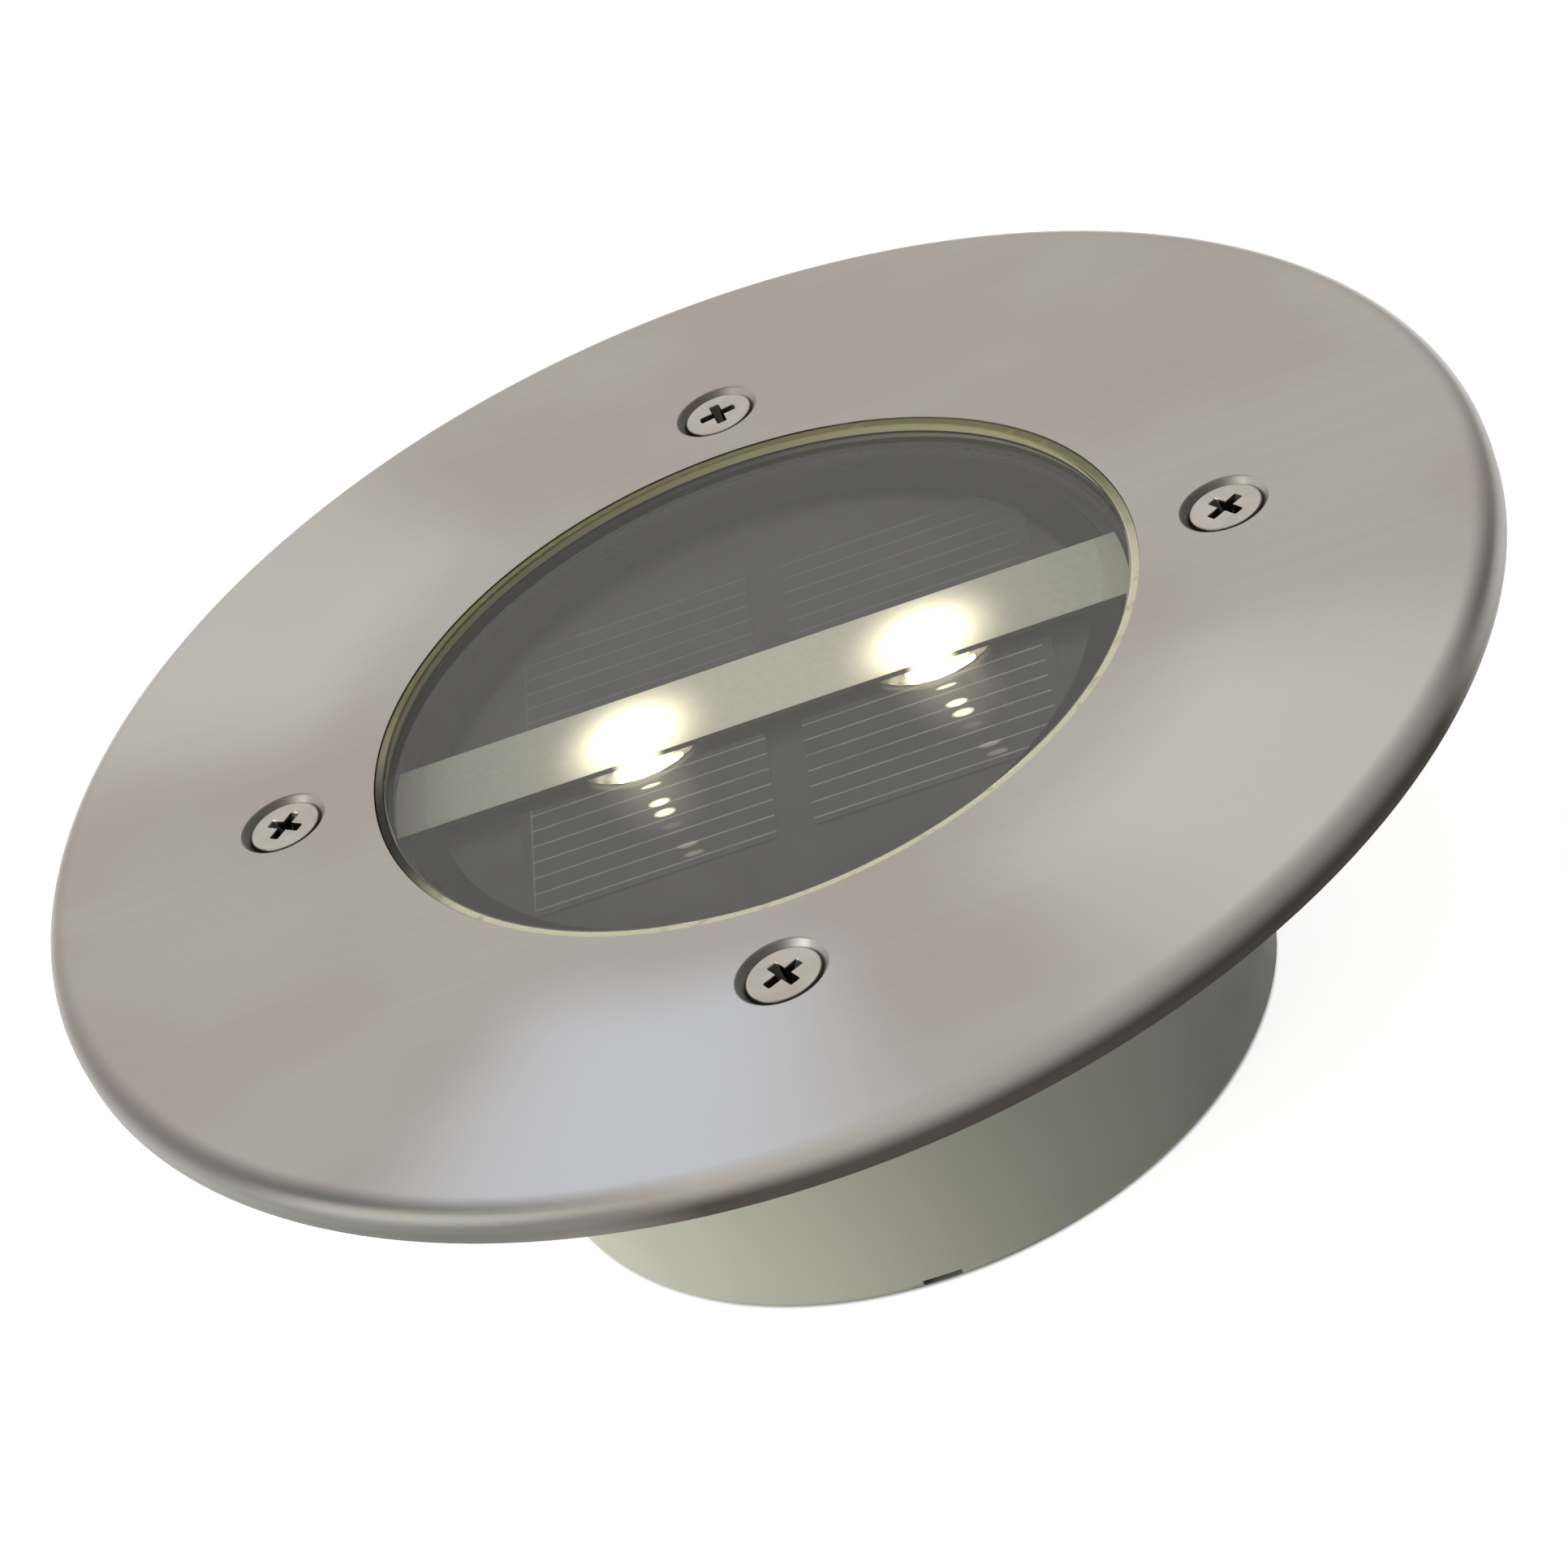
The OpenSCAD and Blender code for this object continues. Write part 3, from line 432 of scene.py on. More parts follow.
def toward(tree, heading, angle, spread):
    """One where the plan heading from the middle is at an angle in degrees, and nought beyond the spread."""
    aim = (math.cos(math.radians(angle)), math.sin(math.radians(angle)), 0)
    match = add(tree, "VectorMath", heading, aim, operation="DOT_PRODUCT").outputs["Value"]
    near = add(tree, "MapRange", match, math.cos(math.radians(spread)), 1.0, **SMOOTH)
    return add(tree, "Math", near, 1.6, operation="POWER")


def moulded_plastic(name, base, rough=0.45, grain=0.6, tint=0.06, shine=0.5, translucent=0.0, paint=None):
    """Injection-moulded ABS or nylon: satin, with the mould's fine spark texture and faint clouding."""
    finish, tree = new_finish(name)
    tone = clouded(tree, pattern(tree, 22.2), base, darker(base, 1 - tint * 2))
    if paint:
        tone = paint(tree, tone)
    # The spark texture breaks up the highlights
    spark = pattern(tree, 0.303, 2)
    shader(tree, {
        "Base Color": tone, "IOR": 1.49, "Specular IOR Level": shine, "Subsurface Weight": translucent,
        "Subsurface Radius": (1.2 * MM, 1.2 * MM, 0.9 * MM),
        "Roughness": add(tree, "MapRange", pattern(tree, 6.25, 4), 0.3, 0.7, rough - 0.05, rough + 0.07),
        "Normal": add(tree, "Bump", inputs={
            "Strength": grain * 0.25, "Distance": 0.02 * MM, "Height": spark})})
    return finish


def cup_painted_shade(tree, tone):
    """The seat's inner edge is painted black, as deep shade, and the cup's right side is painted in shade."""
    at = plan(tree)
    inner = add(tree, "Math", at.radius, 31.4 * MM, **BELOW)
    upper = add(tree, "Math", at.z, 27 * MM, **ABOVE)
    tone = painted(tree, tone, srgb("#141414"), inner, upper)
    under_flange = add(tree, "MapRange", at.z, 30.5 * MM, 29.5 * MM, 0.0, 0.97)
    return painted(tree, tone, srgb("#3A3C38"), toward(tree, at.heading, 12, 76), under_flange)


def metal(name, base, rough=0.25, scratch=1.11, depth=0.15, painted_shade_below=None):
    """Plated or bare metal: fine random scratches and uneven gloss, and painted shade round a head below a
    height.
    """
    finish, tree = new_finish(name)
    tone = clouded(tree, pattern(tree, 2.5), base, darker(base, 0.85), 0.35, 0.7)
    # The head is painted dark below a height, as shade where it sinks into its countersink
    if painted_shade_below:
        height = plan(tree).z
        low_enough = add(tree, "MapRange", height, painted_shade_below, painted_shade_below - 0.08 * MM, 0.0, 0.93)
        on_head = add(tree, "Math", height, painted_shade_below - 1.6 * MM, **ABOVE)
        tone = painted(tree, tone, srgb("#1B1A16"), low_enough, on_head)
    # The scratches give a soft glint
    fine = pattern(tree, (scratch, scratch / 6, scratch), 5, 0.7, 0.5)
    shader(tree, {
        "Base Color": tone, "Metallic": 1.0,
        "Roughness": add(tree, "MapRange", fine, 0.3, 0.7, rough - 0.07, rough + 0.09),
        "Normal": add(tree, "Bump", inputs={"Strength": depth, "Distance": 0.01 * MM, "Height": fine})})
    return finish


def brushed_stainless(colours):
    """Stainless sheet, brushed in one direction along X, with a dull rolled edge."""
    finish, tree = new_finish("brushed_stainless_sheet")
    at = plan(tree)
    # The brushing gives fine lines some 20 mm long, and the sheet's rolling gives soft clouds of tone
    lines = pattern(tree, (22.2, 0.1923, 16.7), 4, 0.6)
    coarse = pattern(tree, (45.5, 0.769, 33.3), 3, 0.6, 0.02)
    clouds = pattern(tree, (33.3, 25.6, 33.3), 2.5, 0.5, 0.4)
    patch = add(tree, "MapRange", clouds, 0.38, 0.62, **SMOOTH)
    tone = painted(tree, colours.steel, colours.steel_warm, patch)
    streak = add(tree, "MapRange", coarse, 0.3, 0.7, 0.0, 0.22)
    tone = painted(tree, tone, darker(colours.steel, 0.8), streak)
    # The rim is painted darker on the near side, as painted shade
    near_side = add(tree, "Math", toward(tree, at.heading, -85, 125), 0.75, 0.2, **TIMES_PLUS)
    rim = add(tree, "MapRange", at.radius, 57.8 * MM, 59.4 * MM, **SMOOTH)
    # Over the cup the edge rolls off softly, from the face's tone into a painted brown shade at its foot
    strong = add(tree, "Math", toward(tree, at.heading, -66, 52), 1.9, **TIMES)
    over_cup = add(tree, "Math", strong, 1.0, operation="MINIMUM")
    elsewhere = add(tree, "Math", 1.0, over_cup, **MINUS)
    tone = painted(tree, tone, colours.rim_painted_shade, rim, near_side, elsewhere)
    foot = add(tree, "MapRange", at.z, plate_high.z - 0.5 * MM, plate_low.z + 0.8 * MM, **SMOOTH)
    tone = painted(tree, tone, colours.rim_over_cup_painted_shade, foot, over_cup)
    roll = add(tree, "MapRange", at.radius, 57.9 * MM, 58.9 * MM, **SMOOTH)
    soft = add(tree, "Math", roll, over_cup, **TIMES)
    # Painted reflections of the room on the brushed sheet: soft rays from the middle, two pale ones and a
    # cool one
    flat_part = add(tree, "MapRange", at.radius, 59.4 * MM, 58.2 * MM)
    for angle, spread, strength, ray in (
            (145, 31, 0.7, colours.painted_pale_ray), (-44, 31, 0.8, colours.painted_pale_ray),
            (-103, 26, 0.9, colours.painted_cool_ray)):
        outer = add(tree, "MapRange", at.radius, 33 * MM, 43 * MM, 0.15, strength, **SMOOTH)
        tone = painted(tree, tone, ray, toward(tree, at.heading, angle, spread), outer, flat_part)
    # The pressed countersinks are painted darker on their back left, where they face the dark front of the
    # room, as a painted reflection of it
    pressed = add(tree, "Math", at.z, plate_high.z - 0.06 * MM, **BELOW)
    inside_rim = add(tree, "Math", at.radius, 50 * MM, **BELOW)
    facing = add(tree, "VectorMath", at.normal, (0.82, -0.57, 0), operation="DOT_PRODUCT").outputs["Value"]
    back_left = add(tree, "MapRange", facing, -0.3, 0.5, 0.0, 0.8, **SMOOTH)
    tone = painted(tree, tone, srgb("#595A4F"), pressed, inside_rim, back_left)
    relief = add(tree, "Math", coarse, 0.8, lines, **TIMES_PLUS)
    uneven = add(tree, "Math", lines, 0.3, clouds, **TIMES_PLUS)
    dull = add(tree, "MapRange", uneven, 0.4, 0.95, 0.3, 0.42)
    shader(tree, {
        "Base Color": tone, "Anisotropic": 0.6,
        "Tangent": add(tree, "Tangent", direction_type="UV_MAP", uv_map="brushing"),
        "Metallic": add(tree, "Math", soft, -0.85, 1.0, **TIMES_PLUS),
        "Roughness": add(tree, "Math", soft, 0.35, dull, **TIMES_PLUS),
        "Normal": add(tree, "Bump", inputs={"Strength": 0.3, "Distance": 0.006 * MM, "Height": relief})})
    return finish


def silicone(colours):
    """Cast silicone rubber: soft, milky and a little see-through, with a matt skin and dust on it, and
    painted shade on its far side and at the left.
    """
    finish, tree = new_finish("cast_silicone")
    at = plan(tree)
    # Its far side is painted darker, as the plate's shade, and dust makes it blotchy
    far = add(tree, "MapRange", at.y, -6 * MM, 12 * MM, **SMOOTH)
    tone = painted(tree, colours.seal, colours.seal_painted_shade, far)
    dust = pattern(tree, 1.11, 4)
    tone = painted(tree, tone, srgb("#A9A378"), add(tree, "MapRange", dust, 0.55, 0.75, 0.0, 0.6))
    # On the far side the inner wall gets a lighter painted shade than the top
    wall = add(tree, "Math", at.z, seal_high.z - 0.1 * MM, **BELOW)
    tone = painted(tree, tone, srgb("#B4AF84"), wall, far)
    # A dark crescent is painted on the left, as shadow in the gap by the opening
    tone = painted(tree, tone, srgb("#1F1A10"), toward(tree, at.heading, 192, 30))
    skin = pattern(tree, 0.385, 2)
    shader(tree, {
        "Base Color": tone, "IOR": 1.41, "Subsurface Weight": 0.35,
        "Subsurface Radius": (1.5 * MM, 1.4 * MM, 0.8 * MM),
        "Roughness": add(tree, "MapRange", dust, 0.3, 0.7, 0.4, 0.6),
        "Normal": add(tree, "Bump", inputs={"Strength": 0.2, "Distance": 0.02 * MM, "Height": skin})})
    return finish


def let_light_through(tree, solid, tint):
    """Lets shadow and diffuse rays straight through a clear solid, so that lamps light what is behind it."""
    path = add(tree, "LightPath")
    through = add(tree, "Math", path.outputs["Is Shadow Ray"], path.outputs["Is Diffuse Ray"], **LARGER)
    add(tree, "OutputMaterial", add(tree, "MixShader", through, solid, add(tree, "BsdfTransparent", tint)))


def clear_plastic():
    """Clear moulded polycarbonate: bends the light as the real one does, with hardly a mirror image on it."""
    finish, tree = new_finish("moulded_polycarbonate")
    wear = add(tree, "MapRange", pattern(tree, 16.7), 0.3, 0.7, 0.0, 0.02)
    solid = add(tree, "BsdfPrincipled", inputs={
        "Base Color": srgb("#F9F9F8"), "Transmission Weight": 1.0, "IOR": 1.49, "Specular IOR Level": 0.12,
        "Roughness": wear})
    let_light_through(tree, solid, (0.93, 0.94, 0.92, 1))
    return finish


def glued_plastic():
    """Clear plastic in clear glue: no edge of it bends the light, and only a faint sheen is left."""
    finish, tree = new_finish("polycarbonate_in_clear_glue")
    sheen = add(tree, "BsdfPrincipled", inputs={"Base Color": srgb("#8C8C84"), "Roughness": 0.3})
    clear = add(tree, "BsdfTransparent", (0.97, 0.97, 0.96, 1))
    faint = add(tree, "MapRange", pattern(tree, 12.5), 0.3, 0.7, 0.0, 0.012)
    add(tree, "OutputMaterial", add(tree, "MixShader", faint, clear, sheen))
    return finish


def from_lamp(tree, sizes):
    """The place on the plan from the nearer of the two lamps: along X, and along Y."""
    at = plan(tree)
    along = add(tree, "Math", at.x, sizes.lamp_shift, **MINUS)
    lamp = add(tree, "Math", add(tree, "Math", along, operation="SIGN"), sizes.lamp_spacing, **TIMES)
    return add(tree, "Math", along, lamp, **MINUS), at.y


def spread_of(tree, along, across, wide=1.0, tall=1.0):
    """Distance from a spot's middle, as a share of its half width and half height."""
    shares = add(tree, "CombineXYZ", add(tree, "Math", along, wide, operation="DIVIDE"),
                 add(tree, "Math", across, tall, operation="DIVIDE"))
    return add(tree, "VectorMath", shares, operation="LENGTH").outputs["Value"]


def lit_collar(sizes, colours):
    """Clear moulded acrylic round a lit lamp, with a painted glow: white in front of the lamp, and bright
    ribs beside that.
    """
    finish, tree = new_finish("clear_acrylic")
    along, across = from_lamp(tree, sizes)
    heading = add(tree, "VectorMath", add(tree, "CombineXYZ", along, across), operation="NORMALIZE")
    # One painted bright column for each of the 24 ribs
    swing = add(tree, "Math", add(tree, "Math", across, along, operation="ARCTAN2"), 24.0, **TIMES)
    ribs = add(tree, "Math", add(tree, "Math", swing, operation="SINE"), 0.5, 0.5, **TIMES_PLUS)
    beside = add(tree, "Math", add(tree, "Math", ribs, toward(tree, heading, -88, 75), **TIMES), 0.4, **TIMES)
    solid = add(tree, "BsdfPrincipled", inputs={
        "Base Color": srgb("#F6F4EC"), "Roughness": 0.06, "Transmission Weight": 0.85, "IOR": 1.49,
        "Emission Color": colours.glow,
        "Emission Strength": add(tree, "Math", toward(tree, heading, -90, 26), 2.2, beside, **TIMES_PLUS)})
    let_light_through(tree, solid, (0.93, 0.93, 0.91, 1))
    return finish


def frosted_bar(sizes, colours):
    """Frosted acrylic strip: matt and pale, with a painted glow round each lamp, where the lamps light it
    from behind.
    """
    finish, tree = new_finish("frosted_acrylic")
    grain = pattern(tree, 0.667)
    tone = clouded(tree, grain, colours.bar, darker(colours.bar, 0.9), 0.35, 0.7)
    # Only the upper face is frosted; the cut sides are painted dark, as shade
    at = plan(tree)
    face = add(tree, "Math", at.z, bar_high.z - 0.05 * MM, **ABOVE)
    tone = painted(tree, srgb("#242421"), tone, face)
    # A painted glow stands for the light of a lamp spreading in the strip, to about 9 mm from its middle,
    # most to the near left, with a faint painted haze beyond
    along, across = from_lamp(tree, sizes)
    away = spread_of(tree, add(tree, "Math", along, 0.3 * MM, **PLUS),
                     add(tree, "Math", across, 0.7 * MM, **PLUS), 8.8 * MM, 9.4 * MM)
    near = add(tree, "Math", add(tree, "MapRange", away, 1.0, 0.0), 3.0, operation="POWER")
    out = add(tree, "Math", add(tree, "Math", at.x, sizes.lamp_shift, **MINUS), **AWAY)
    haze = add(tree, "MapRange", out, 27 * MM, 6 * MM, 0.0, 0.15, **SMOOTH)
    strength = add(tree, "Math", near, 5.5, haze, **TIMES_PLUS)
    beside = add(tree, "Math", along, **AWAY)
    at_lamp = add(tree, "MapRange", beside, 1.3 * MM, 2.3 * MM, 1.0, 0.02, **SMOOTH)
    lit = add(tree, "Math", face, at_lamp, **LARGER)
    shader(tree, {
        "Base Color": tone, "Roughness": 0.5, "IOR": 1.49, "Emission Color": colours.glow,
        "Emission Strength": add(tree, "Math", strength, lit, **TIMES),
        "Normal": add(tree, "Bump", inputs={"Strength": 0.15, "Distance": 0.01 * MM, "Height": grain})})
    return finish


def lit_lamp(colours):
    """Clear epoxy lamp, switched on: the whole round end glows."""
    finish, tree = new_finish("lit_epoxy_lamp")
    foot, crown = lamps_low.z + 3 * MM, lamps_high.z - 1.5 * MM
    shader(tree, {
        "Base Color": clouded(tree, pattern(tree, 1.43, 2), srgb("#FFF7E0"), srgb("#F3E7C4")),
        "Roughness": 0.12, "IOR": 1.53, "Emission Color": colours.glow,
        "Emission Strength": add(tree, "MapRange", plan(tree).z, foot, crown, 1.0, 9.0)})
    return finish


def silver_lines(tree, at, tone, colours):
    """The cells' printed silver lines over a tone: seven on each cell, 2.06 mm apart."""
    cell_from, cell_to, first_line, last_row = 1.5 * MM, 21.2 * MM, 5.4 * MM, 17.9 * MM
    side = add(tree, "Math", add(tree, "Math", at.x, 1.4 * MM, **MINUS), **AWAY)
    row = add(tree, "Math", add(tree, "Math", at.y, 0.5 * MM, **MINUS), **AWAY)
    step = add(tree, "Math", add(tree, "Math", row, first_line, **MINUS), 2.06 * MM, operation="DIVIDE")
    # They are drawn 0.2 mm wide so that they show
    line = add(tree, "Math", add(tree, "Math", step, 0.5, operation="PINGPONG"), 0.048, **BELOW)
    in_cell = add(tree, "Math", add(tree, "Math", side, cell_from, **ABOVE),
                  add(tree, "Math", side, cell_to, **BELOW), **TIMES)
    # The line that joins them shows at the left end only
    joining = add(tree, "Math", at.x, -19.7 * MM, 0.08 * MM, operation="COMPARE")
    drawn = add(tree, "Math", add(tree, "Math", line, in_cell, **TIMES),
                add(tree, "Math", joining, 0.6, **TIMES), **LARGER)
    # They fade on the far cells
    return painted(tree, tone, colours.finger, drawn, add(tree, "Math", row, last_row, **BELOW),
                   add(tree, "MapRange", pattern(tree, 2), 0.3, 0.7, 0.5, 0.9),
                   add(tree, "MapRange", at.y, 0.0, 6 * MM, 0.8, 0.25))


def painted_lamp_reflections(tree, sizes):
    """The strength of the painted reflections of the lamps in resin and window: a row of small spots in a
    haze.
    """
    along, across = from_lamp(tree, sizes)
    bow = add(tree, "Math", add(tree, "Math", across, across, **TIMES), 8.5, -0.25 * MM, **TIMES_PLUS)
    leaning = add(tree, "Math", add(tree, "Math", across, 0.087, along, **TIMES_PLUS), bow, **MINUS)
    haze = spread_of(tree, leaning, add(tree, "Math", across, 6 * MM, **PLUS), 4.8 * MM, 8.5 * MM)
    glow = add(tree, "Math", add(tree, "MapRange", haze, 1.0, 0.0, **SMOOTH), 0.15, **TIMES)
    # Each spot's distance from the lamp and half height in mm, and its strength
    for distance, tall, strength in ((6.1, 0.3, 1.1), (8.68, 0.55, 1.6), (10.2, 0.6, 1.3), (12.2, 0.45, 0.07),
                                     (15.3, 0.4, 0.2), (16.6, 0.4, 0.15)):
        below = add(tree, "Math", across, distance * MM, **PLUS)
        image = spread_of(tree, leaning, below, 1.02 * MM, tall * MM)
        bright = add(tree, "MapRange", image, 1.0, 0.55, 0.0, strength, **SMOOTH)
        glow = add(tree, "Math", glow, bright, **PLUS)
    # The foot of the lit collar gets a painted reflection, a pale line
    past_line = add(tree, "Math", spread_of(tree, along, across), 5.35 * MM, **MINUS)
    off_line = add(tree, "Math", past_line, **AWAY)
    line = add(tree, "MapRange", off_line, 0.4 * MM, 0.1 * MM, 0.0, 0.13, **SMOOTH)
    in_front = add(tree, "MapRange", across, -2.5 * MM, -4.5 * MM, **SMOOTH)
    return add(tree, "Math", line, in_front, glow, **TIMES_PLUS)


def cell_finish(name, base, sizes, colours, fingers):
    """Silicon or board under clear epoxy resin: dark, faintly mottled and glossy, with painted reflections of
    the lamps and painted shade at the far edge.
    """
    finish, tree = new_finish(name)
    at = plan(tree)
    mottle = pattern(tree, 4.35)
    tone = clouded(tree, mottle, base, darker(base, 0.8))
    if fingers:
        tone = silver_lines(tree, at, tone, colours)
    # The far edge is painted dark, as the shade of the plate and the seal
    edge = add(tree, "MapRange", at.radius, 22 * MM, 28.2 * MM, 0.0, 0.9, **SMOOTH)
    far = add(tree, "MapRange", at.y, 0.0, 10 * MM, **SMOOTH)
    shader(tree, {
        "Base Color": painted(tree, tone, srgb("#131411"), edge, far), "IOR": 1.35, "Coat Weight": 0.2,
        "Coat Roughness": 0.04, "Coat IOR": 1.5,
        "Roughness": add(tree, "MapRange", mottle, 0.3, 0.7, 0.38, 0.5),
        "Emission Color": srgb("#FFF3CF"), "Emission Strength": painted_lamp_reflections(tree, sizes)})
    return finish


def circuit_finish():
    """Fibreglass board: green solder mask over copper tracks, glossy, with the tracks standing out."""
    finish, tree = new_finish("solder_mask_on_fibreglass")
    spot = add(tree, "TexCoord")
    # The tracks are some 4 mm long and 1.7 mm apart
    track = add(tree, "TexBrick", inputs={
        "Vector": spot.outputs["Object"], "Scale": 1 / (4.76 * MM), "Mortar Size": 0.03, "Mortar Smooth": 0.2,
        "Brick Width": 0.9, "Row Height": 0.35, "Color1": srgb("#145C33"), "Color2": srgb("#0F4A29"),
        "Mortar": srgb("#2C8A52")}, offset=0.5)
    shader(tree, {
        "Base Color": track, "Roughness": 0.28, "IOR": 1.5, "Coat Weight": 0.4, "Coat Roughness": 0.15,
        "Normal": add(tree, "Bump", inputs={
            "Strength": 0.25, "Distance": 0.03 * MM, "Height": track.outputs["Fac"]})})
    return finish


def wire_finish(name, base):
    """Soft PVC insulation or sleeve: even and slightly waxy."""
    finish, tree = new_finish(name)
    smear = pattern(tree, 2.63)
    shader(tree, {
        "Base Color": clouded(tree, smear, base, darker(base, 0.8)), "IOR": 1.52,
        "Roughness": add(tree, "MapRange", smear, 0.3, 0.7, 0.32, 0.45)})
    return finish


def battery_finish():
    """Battery: a glossy shrunk plastic sleeve, with the bare steel of the can at its ends."""
    finish, tree = new_finish("shrink_sleeve_on_steel_can")
    at = plan(tree)
    low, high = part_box("battery")
    middle = (low + high) / 2
    from_axis = spread_of(tree, add(tree, "Math", at.y, middle.y, **MINUS),
                          add(tree, "Math", at.z, middle.z, **MINUS))
    bare = add(tree, "Math", from_axis, 5.9 * MM, **BELOW)
    band = add(tree, "Math", at.x, high.x - 9 * MM, **ABOVE)
    sleeve = painted(tree, srgb("#1F6B3C"), srgb("#D9DBD6"), band)
    wrinkle = pattern(tree, (9.62, 3.85, 3.85))
    shader(tree, {
        "Base Color": painted(tree, sleeve, srgb("#BDB9B2"), bare), "Metallic": bare, "IOR": 1.5,
        "Roughness": add(tree, "MapRange", wrinkle, 0.3, 0.7, 0.22, 0.38),
        "Normal": add(tree, "Bump", inputs={"Strength": 0.12, "Distance": 0.03 * MM, "Height": wrinkle})})
    return finish


# Operators, one for each piece or group of like pieces

class LIGHT_OT_cover_plate(bpy.types.Operator):
    """Model the steel cover plate: a sheet with a rolled rim and pressed countersinks"""
    bl_idname = "ground_light.cover_plate"
    bl_label = "Cover plate"

    def execute(self, context):
        sizes, colours = context.scene.light_sizes, context.scene.light_colours
        top, rim, bend = plate_high.z, plate_low.z, sizes.edge_radius
        ring, reach = sizes.screw_circle, sizes.plate_radius
        # The sheet's upper face, from the opening out, over the rolled edge and down the rim
        edge, patch = sizes.opening_radius, 4.5 * MM
        flat = (edge, edge + 0.4 * MM, ring - patch, ring + patch,
                reach - bend - 6 * MM, reach - bend - 0.5 * MM)
        profile = [(radius, top) for radius in flat]
        profile += arc(bend, 90, 0, 9, (reach - bend, top - bend))
        profile += [(reach, rim + 0.3 * MM), (reach, rim)]
        plate = circle("cover_plate_sheet", profile[0][0], top, SWEEP)
        with editing(plate):
            bpy.ops.mesh.select_all(action="SELECT")
            draw_out(profile)
            for i in range(sizes.bosses):
                turn = 2 * math.pi * i / sizes.bosses
                centre = Vector((ring * math.cos(turn), ring * math.sin(turn), top))
                self.press_dimple(plate, centre, turn, patch, sizes)
            # The opening is punched a little off the middle
            select_where(plate, lambda v: v.co.xy.length < edge + 1 * MM)
            bpy.ops.transform.translate(value=(sizes.off_right, sizes.off_back, 0))
            bpy.ops.mesh.select_all(action="SELECT")
            bpy.ops.mesh.normals_make_consistent(inside=False)
        if plate.data.polygons[0].normal.z < 0:
            plate.data.flip_normals()
        # The pressed countersinks are thinner than the rest of the sheet
        full = plate.vertex_groups.new(name="full sheet")
        full.add([v.index for v in plate.data.vertices
                  if v.co.z > top - 0.01 * MM or v.co.xy.length > ring + 8 * MM], 1, "REPLACE")
        pick(plate)
        step = plate.modifiers.new("sheet", "SOLIDIFY")
        step.thickness = sizes.sheet
        step.offset = -1
        step.vertex_group = full.name
        step.thickness_vertex_group = 0.6
        bpy.ops.object.modifier_apply(modifier=step.name)
        polish(plate, 0.06 * MM, 2, 50)
        # The brushing runs along X
        brushing = plate.data.uv_layers.new(name="brushing")
        for loop in plate.data.loops:
            spot = plate.data.vertices[loop.vertex_index].co
            brushing.data[loop.index].uv = (spot.x / reach, spot.y / reach)
        place(plate, "cover", "brushed_steel", brushed_stainless(colours), "cover_plate")
        return {"FINISHED"}

    @staticmethod
    def press_dimple(plate, centre, turn, patch, sizes):
        """Opens a patch of the flat sheet, and draws a countersink down from it."""
        top = centre.z

        def in_patch(face):
            middle = face.calc_center_median()
            swing = (math.atan2(middle.y, middle.x) - turn + math.pi) % (2 * math.pi) - math.pi
            return abs(middle.xy.length - centre.xy.length) < patch and abs(swing) < math.radians(7.5)

        bpy.ops.mesh.select_mode(type="FACE")
        select_where(plate, in_patch, "faces")
        bpy.ops.mesh.delete(type="ONLY_FACE")
        bpy.ops.mesh.select_mode(type="VERT")
        bpy.ops.mesh.select_all(action="DESELECT")
        bpy.ops.mesh.select_mode(type="EDGE")
        select_where(plate, lambda e: not e.link_faces, "edges")
        bpy.ops.mesh.delete(type="EDGE")
        turn_in = 0.6 * MM
        lip = sizes.dimple_radius + turn_in * math.tan(math.radians(22.5))
        profile = [(lip, top)] + [
            (lip - turn_in * math.sin(math.radians(a)), top - turn_in * (1 - math.cos(math.radians(a))))
            for a in (11, 22, 33, 45)]
        drop = profile[-1][0] - sizes.screw_radius - 0.3 * MM
        profile += [(profile[-1][0] - drop, profile[-1][1] - drop)]
        profile += [(profile[-1][0], profile[-1][1] - 0.3 * MM)]
        bpy.ops.mesh.primitive_circle_add(vertices=48, radius=lip, fill_type="NOTHING", location=centre)
        draw_out(profile, centre)

        def open_here(edge):
            return len(edge.link_faces) < 2 and all(
                abs(v.co.z - top) < 0.001 * MM and (v.co - centre).length < 8 * MM
                and v.co.xy.length > sizes.opening_radius + 1 * MM for v in edge.verts)

        # The flat sheet is filled in between the patch and the countersink; the opening's own edge stays open
        select_where(plate, open_here, "edges")
        bpy.ops.mesh.fill(use_beauty=True)


